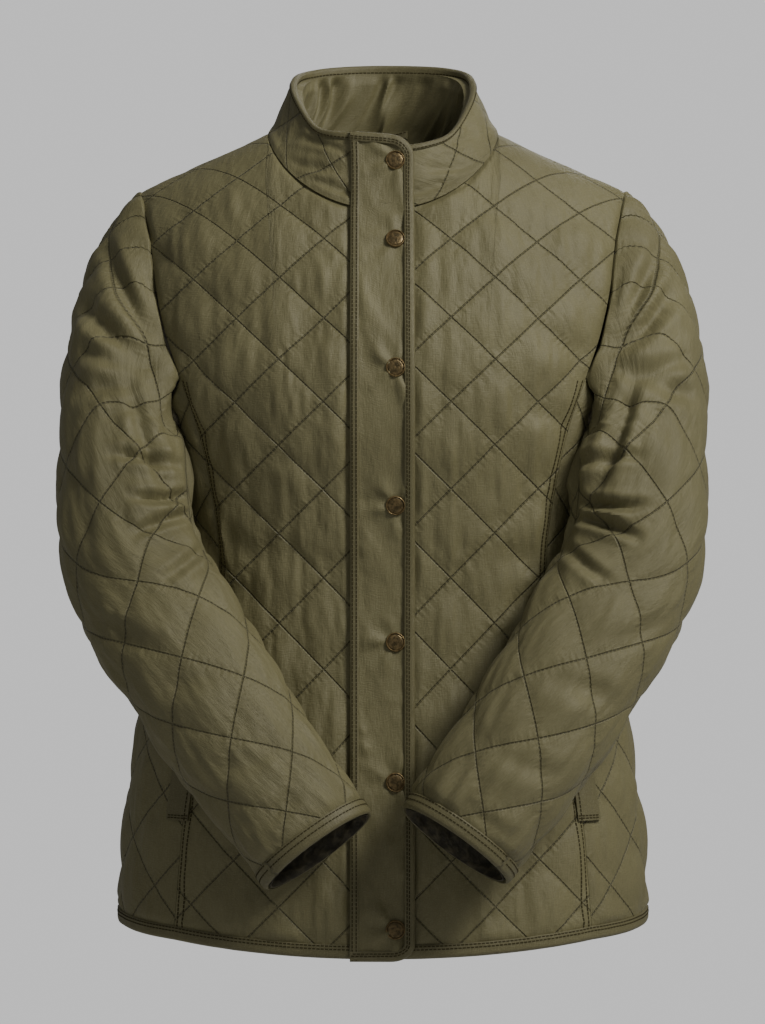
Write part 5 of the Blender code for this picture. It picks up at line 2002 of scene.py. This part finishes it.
def snap_lengths() -> list[float]:
    """Lengths up the centre front of the snaps, counted from the hem."""
    return [0.0235 + sum(SNAP_STEPS[:index]) for index in range(len(SNAP_STEPS) + 1)]


class Ring(NamedTuple):
    """A ring of a turned piece."""

    radius: float
    height: float


@dataclass
class Snaps:
    """Seven fastened snaps. Each cap has a raised ring, a hollow and a flat grained centre."""

    form: ClosureForm
    seat: float = 0.0016
    steps: int = 56
    across: ClassVar[float] = 0.0098
    cap: tuple[Ring, ...] = (
        Ring(0.0000, 0.0019),
        Ring(0.0025, 0.0019),
        Ring(0.0050, 0.0018),
        Ring(0.0058, 0.0016),
        Ring(0.0061, 0.0013),
        Ring(0.0064, 0.0013),
        Ring(0.0066, 0.0018),
        Ring(0.0070, 0.0022),
        Ring(0.0074, 0.0020),
        Ring(0.0077, 0.0012),
        Ring(0.0077, 0.0004),
        Ring(0.0074, 0.0000),
        Ring(0.0000, 0.0000),
    )

    def make_cap(self, number: int, seat: Vector, axis: Vector) -> None:
        """Spin one cap and set it on its seat."""
        bm = bmesh.new()
        verts = [bm.verts.new((ring.radius, 0.0, ring.height)) for ring in self.cap]
        edges = [bm.edges.new(pair) for pair in zip(verts, verts[1:])]
        centre, spindle = (0.0, 0.0, 0.0), (0.0, 0.0, 1.0)
        bmesh.ops.spin(
            bm, geom=verts + edges, cent=centre, axis=spindle, angle=math.tau, steps=self.steps, use_merge=True
        )
        bmesh.ops.remove_doubles(bm, verts=bm.verts, dist=1e-6)
        bmesh.ops.recalc_face_normals(bm, faces=bm.faces)
        turn = axis.to_track_quat("Z", "Y").to_matrix()
        bmesh.ops.rotate(bm, verts=bm.verts, cent=centre, matrix=turn)
        bmesh.ops.translate(bm, verts=bm.verts, vec=seat)
        enter(finished(f"snap_head_{number}", bm, [BRASS], 45.0), Slot.BRASS, f"snap_cap_{number}")

    def build(self) -> None:
        """Make the caps and dress the plain backs."""
        lengths = snap_lengths()
        for index, length in enumerate(lengths):
            point, normal = self.form.sample(np.array(self.across), np.array(length))
            number = len(lengths) - index
            self.make_cap(number, Vector(point + normal * self.seat), Vector(normal))
            back = bpy.data.objects[f"snap_back_{number}"]
            back.data.materials.clear()
            back.data.materials.append(BRASS.make())


# --- the pockets ---
@dataclass
class PocketEdges:
    """The plain folded edges of the two front pockets."""

    form: ClosureForm
    top: float = -0.405
    bottom: float = -0.546
    inner: float = 0.1545
    outer: float = 0.1725
    wall: float = 0.0012
    crown: float = 0.0006
    ripple: float = 0.0004

    def build(self, stitching: Stitching) -> None:
        """Make both edges."""
        height = np.linspace(self.bottom, self.top, 72)[:, None]
        offset = BODY.front_edge(height) - BODY.front_edge(self.bottom)
        across = np.linspace(self.inner, self.outer, 8)[None] + offset
        height = np.broadcast_to(height, across.shape)
        half = self.form.front(across, height)
        for side, name in SIDE_NAMES.items():
            points = mirrored(half, side)
            normals = grid_normals(points, BODY.middle(points))
            share = np.linspace(0.0, 1.0, 8)
            crown = self.crown * swelled(share)[None, :, None]
            ripple = self.ripple * soft_noise(height / 0.012, across / 0.01, 121 + side)[..., None]
            outer = points + normals * (self.wall + crown + ripple)
            inner = points - normals * 0.0004
            shell = Shell(f"pocket_edge_{name}", outer, inner, BINDING_CLOTH)
            shell.sew(Slot.BINDING, f"pocket_welt_{name}")
            stitching.add(outer, normals, (1, 2))
            stitching.add_up(outer, normals, (1,))


# --- the studio ---
class Lamp(NamedTuple):
    """A soft square light: its place, what it faces, its size, power and colour."""

    name: str
    place: Place
    size: float
    power: float
    colour: Place


@dataclass
class Studio:
    """Camera, lights, pale floor and grey surroundings."""

    target: Vector = field(default_factory=lambda: Vector((0.0, 0.0, -0.301)))
    distance: float = 2.6
    view_height: float = 1024 * 0.00082
    sensor: float = 24.0
    shift: float = -0.5 / 1024
    floor_height: float = -1.40
    floor_size: float = 3.2
    surroundings: Colour = (0.735, 0.733, 0.735, 1.0)
    ambient: float = 0.22
    lamps: tuple[Lamp, ...] = (
        Lamp("key", (1.70, -1.60, 1.60), 0.9, 74.0, (1.0, 0.985, 0.96)),
        Lamp("fill", (-1.5, -2.6, 0.2), 2.0, 4.0, (0.96, 0.98, 1.0)),
        Lamp("rim", (0.8, 2.3, 1.5), 1.5, 16.0, (1.0, 1.0, 1.0)),
    )

    def make_camera(self) -> None:
        """Set the camera straight in front of the jacket."""
        lens = bpy.data.cameras.new("front view")
        lens.sensor_fit = "VERTICAL"
        lens.sensor_height = self.sensor
        lens.lens = self.sensor * self.distance / self.view_height
        lens.shift_x = self.shift
        camera = placed("front view", lens)
        camera.location = self.target - Vector((0.0, self.distance, 0.0))
        camera.rotation_euler = (math.pi / 2, 0.0, 0.0)
        bpy.context.scene.camera = camera

    def make_lamps(self) -> None:
        """Hang the soft lights, each turned to the jacket's middle."""
        for lamp in self.lamps:
            light = bpy.data.lights.new(lamp.name, "AREA")
            light.shape = "SQUARE"
            light.size = lamp.size
            light.energy = lamp.power
            light.color = lamp.colour
            holder = placed(lamp.name, light)
            holder.location = lamp.place
            way = self.target - Vector(lamp.place)
            holder.rotation_euler = way.to_track_quat("-Z", "Y").to_euler()

    def make_floor(self) -> None:
        """Lay the round pale floor below the jacket."""
        bm = bmesh.new()
        bmesh.ops.create_circle(bm, cap_ends=True, segments=96, radius=self.floor_size)
        bmesh.ops.translate(bm, verts=bm.verts, vec=(0.0, 0.0, self.floor_height))
        mesh = bpy.data.meshes.new("floor")
        bm.to_mesh(mesh)
        bm.free()
        mesh.materials.append(StudioFinish().make())
        placed("floor", mesh)

    def make_surroundings(self) -> None:
        """Surround the scene with an even grey that lights less strongly than it looks."""
        world = bpy.data.worlds.new("grey surroundings")
        world.use_nodes = True
        tree = world.node_tree
        seen = tree.nodes["Background"]
        seen.inputs["Color"].default_value = self.surroundings
        glow = tree.nodes.new("ShaderNodeBackground")
        glow.inputs["Color"].default_value = self.surroundings
        glow.inputs["Strength"].default_value = self.ambient
        path = tree.nodes.new("ShaderNodeLightPath")
        mix = tree.nodes.new("ShaderNodeMixShader")
        tree.links.new(path.outputs["Is Camera Ray"], mix.inputs[0])
        tree.links.new(glow.outputs[0], mix.inputs[1])
        tree.links.new(seen.outputs[0], mix.inputs[2])
        tree.links.new(mix.outputs[0], tree.nodes["World Output"].inputs["Surface"])
        bpy.context.scene.world = world

    def build(self) -> None:
        """Set up the studio."""
        self.make_camera()
        self.make_lamps()
        self.make_floor()
        self.make_surroundings()


def main() -> None:
    """Build the studio and every piece."""
    logging.basicConfig(level=logging.INFO, format="%(name)s: %(message)s")
    Studio().build()
    Body().build()
    edges = Stitching("edge_topstitching")
    for side in SIDE_NAMES:
        Sleeve(side).build(edges)
    Collar().build(edges)
    closure = ClosureForm()
    FrontBand(closure).build(edges)
    PocketEdges(closure).build(edges)
    edges.build(Slot.BINDING)
    Snaps(closure).build()


if __name__ == "__main__":
    main()
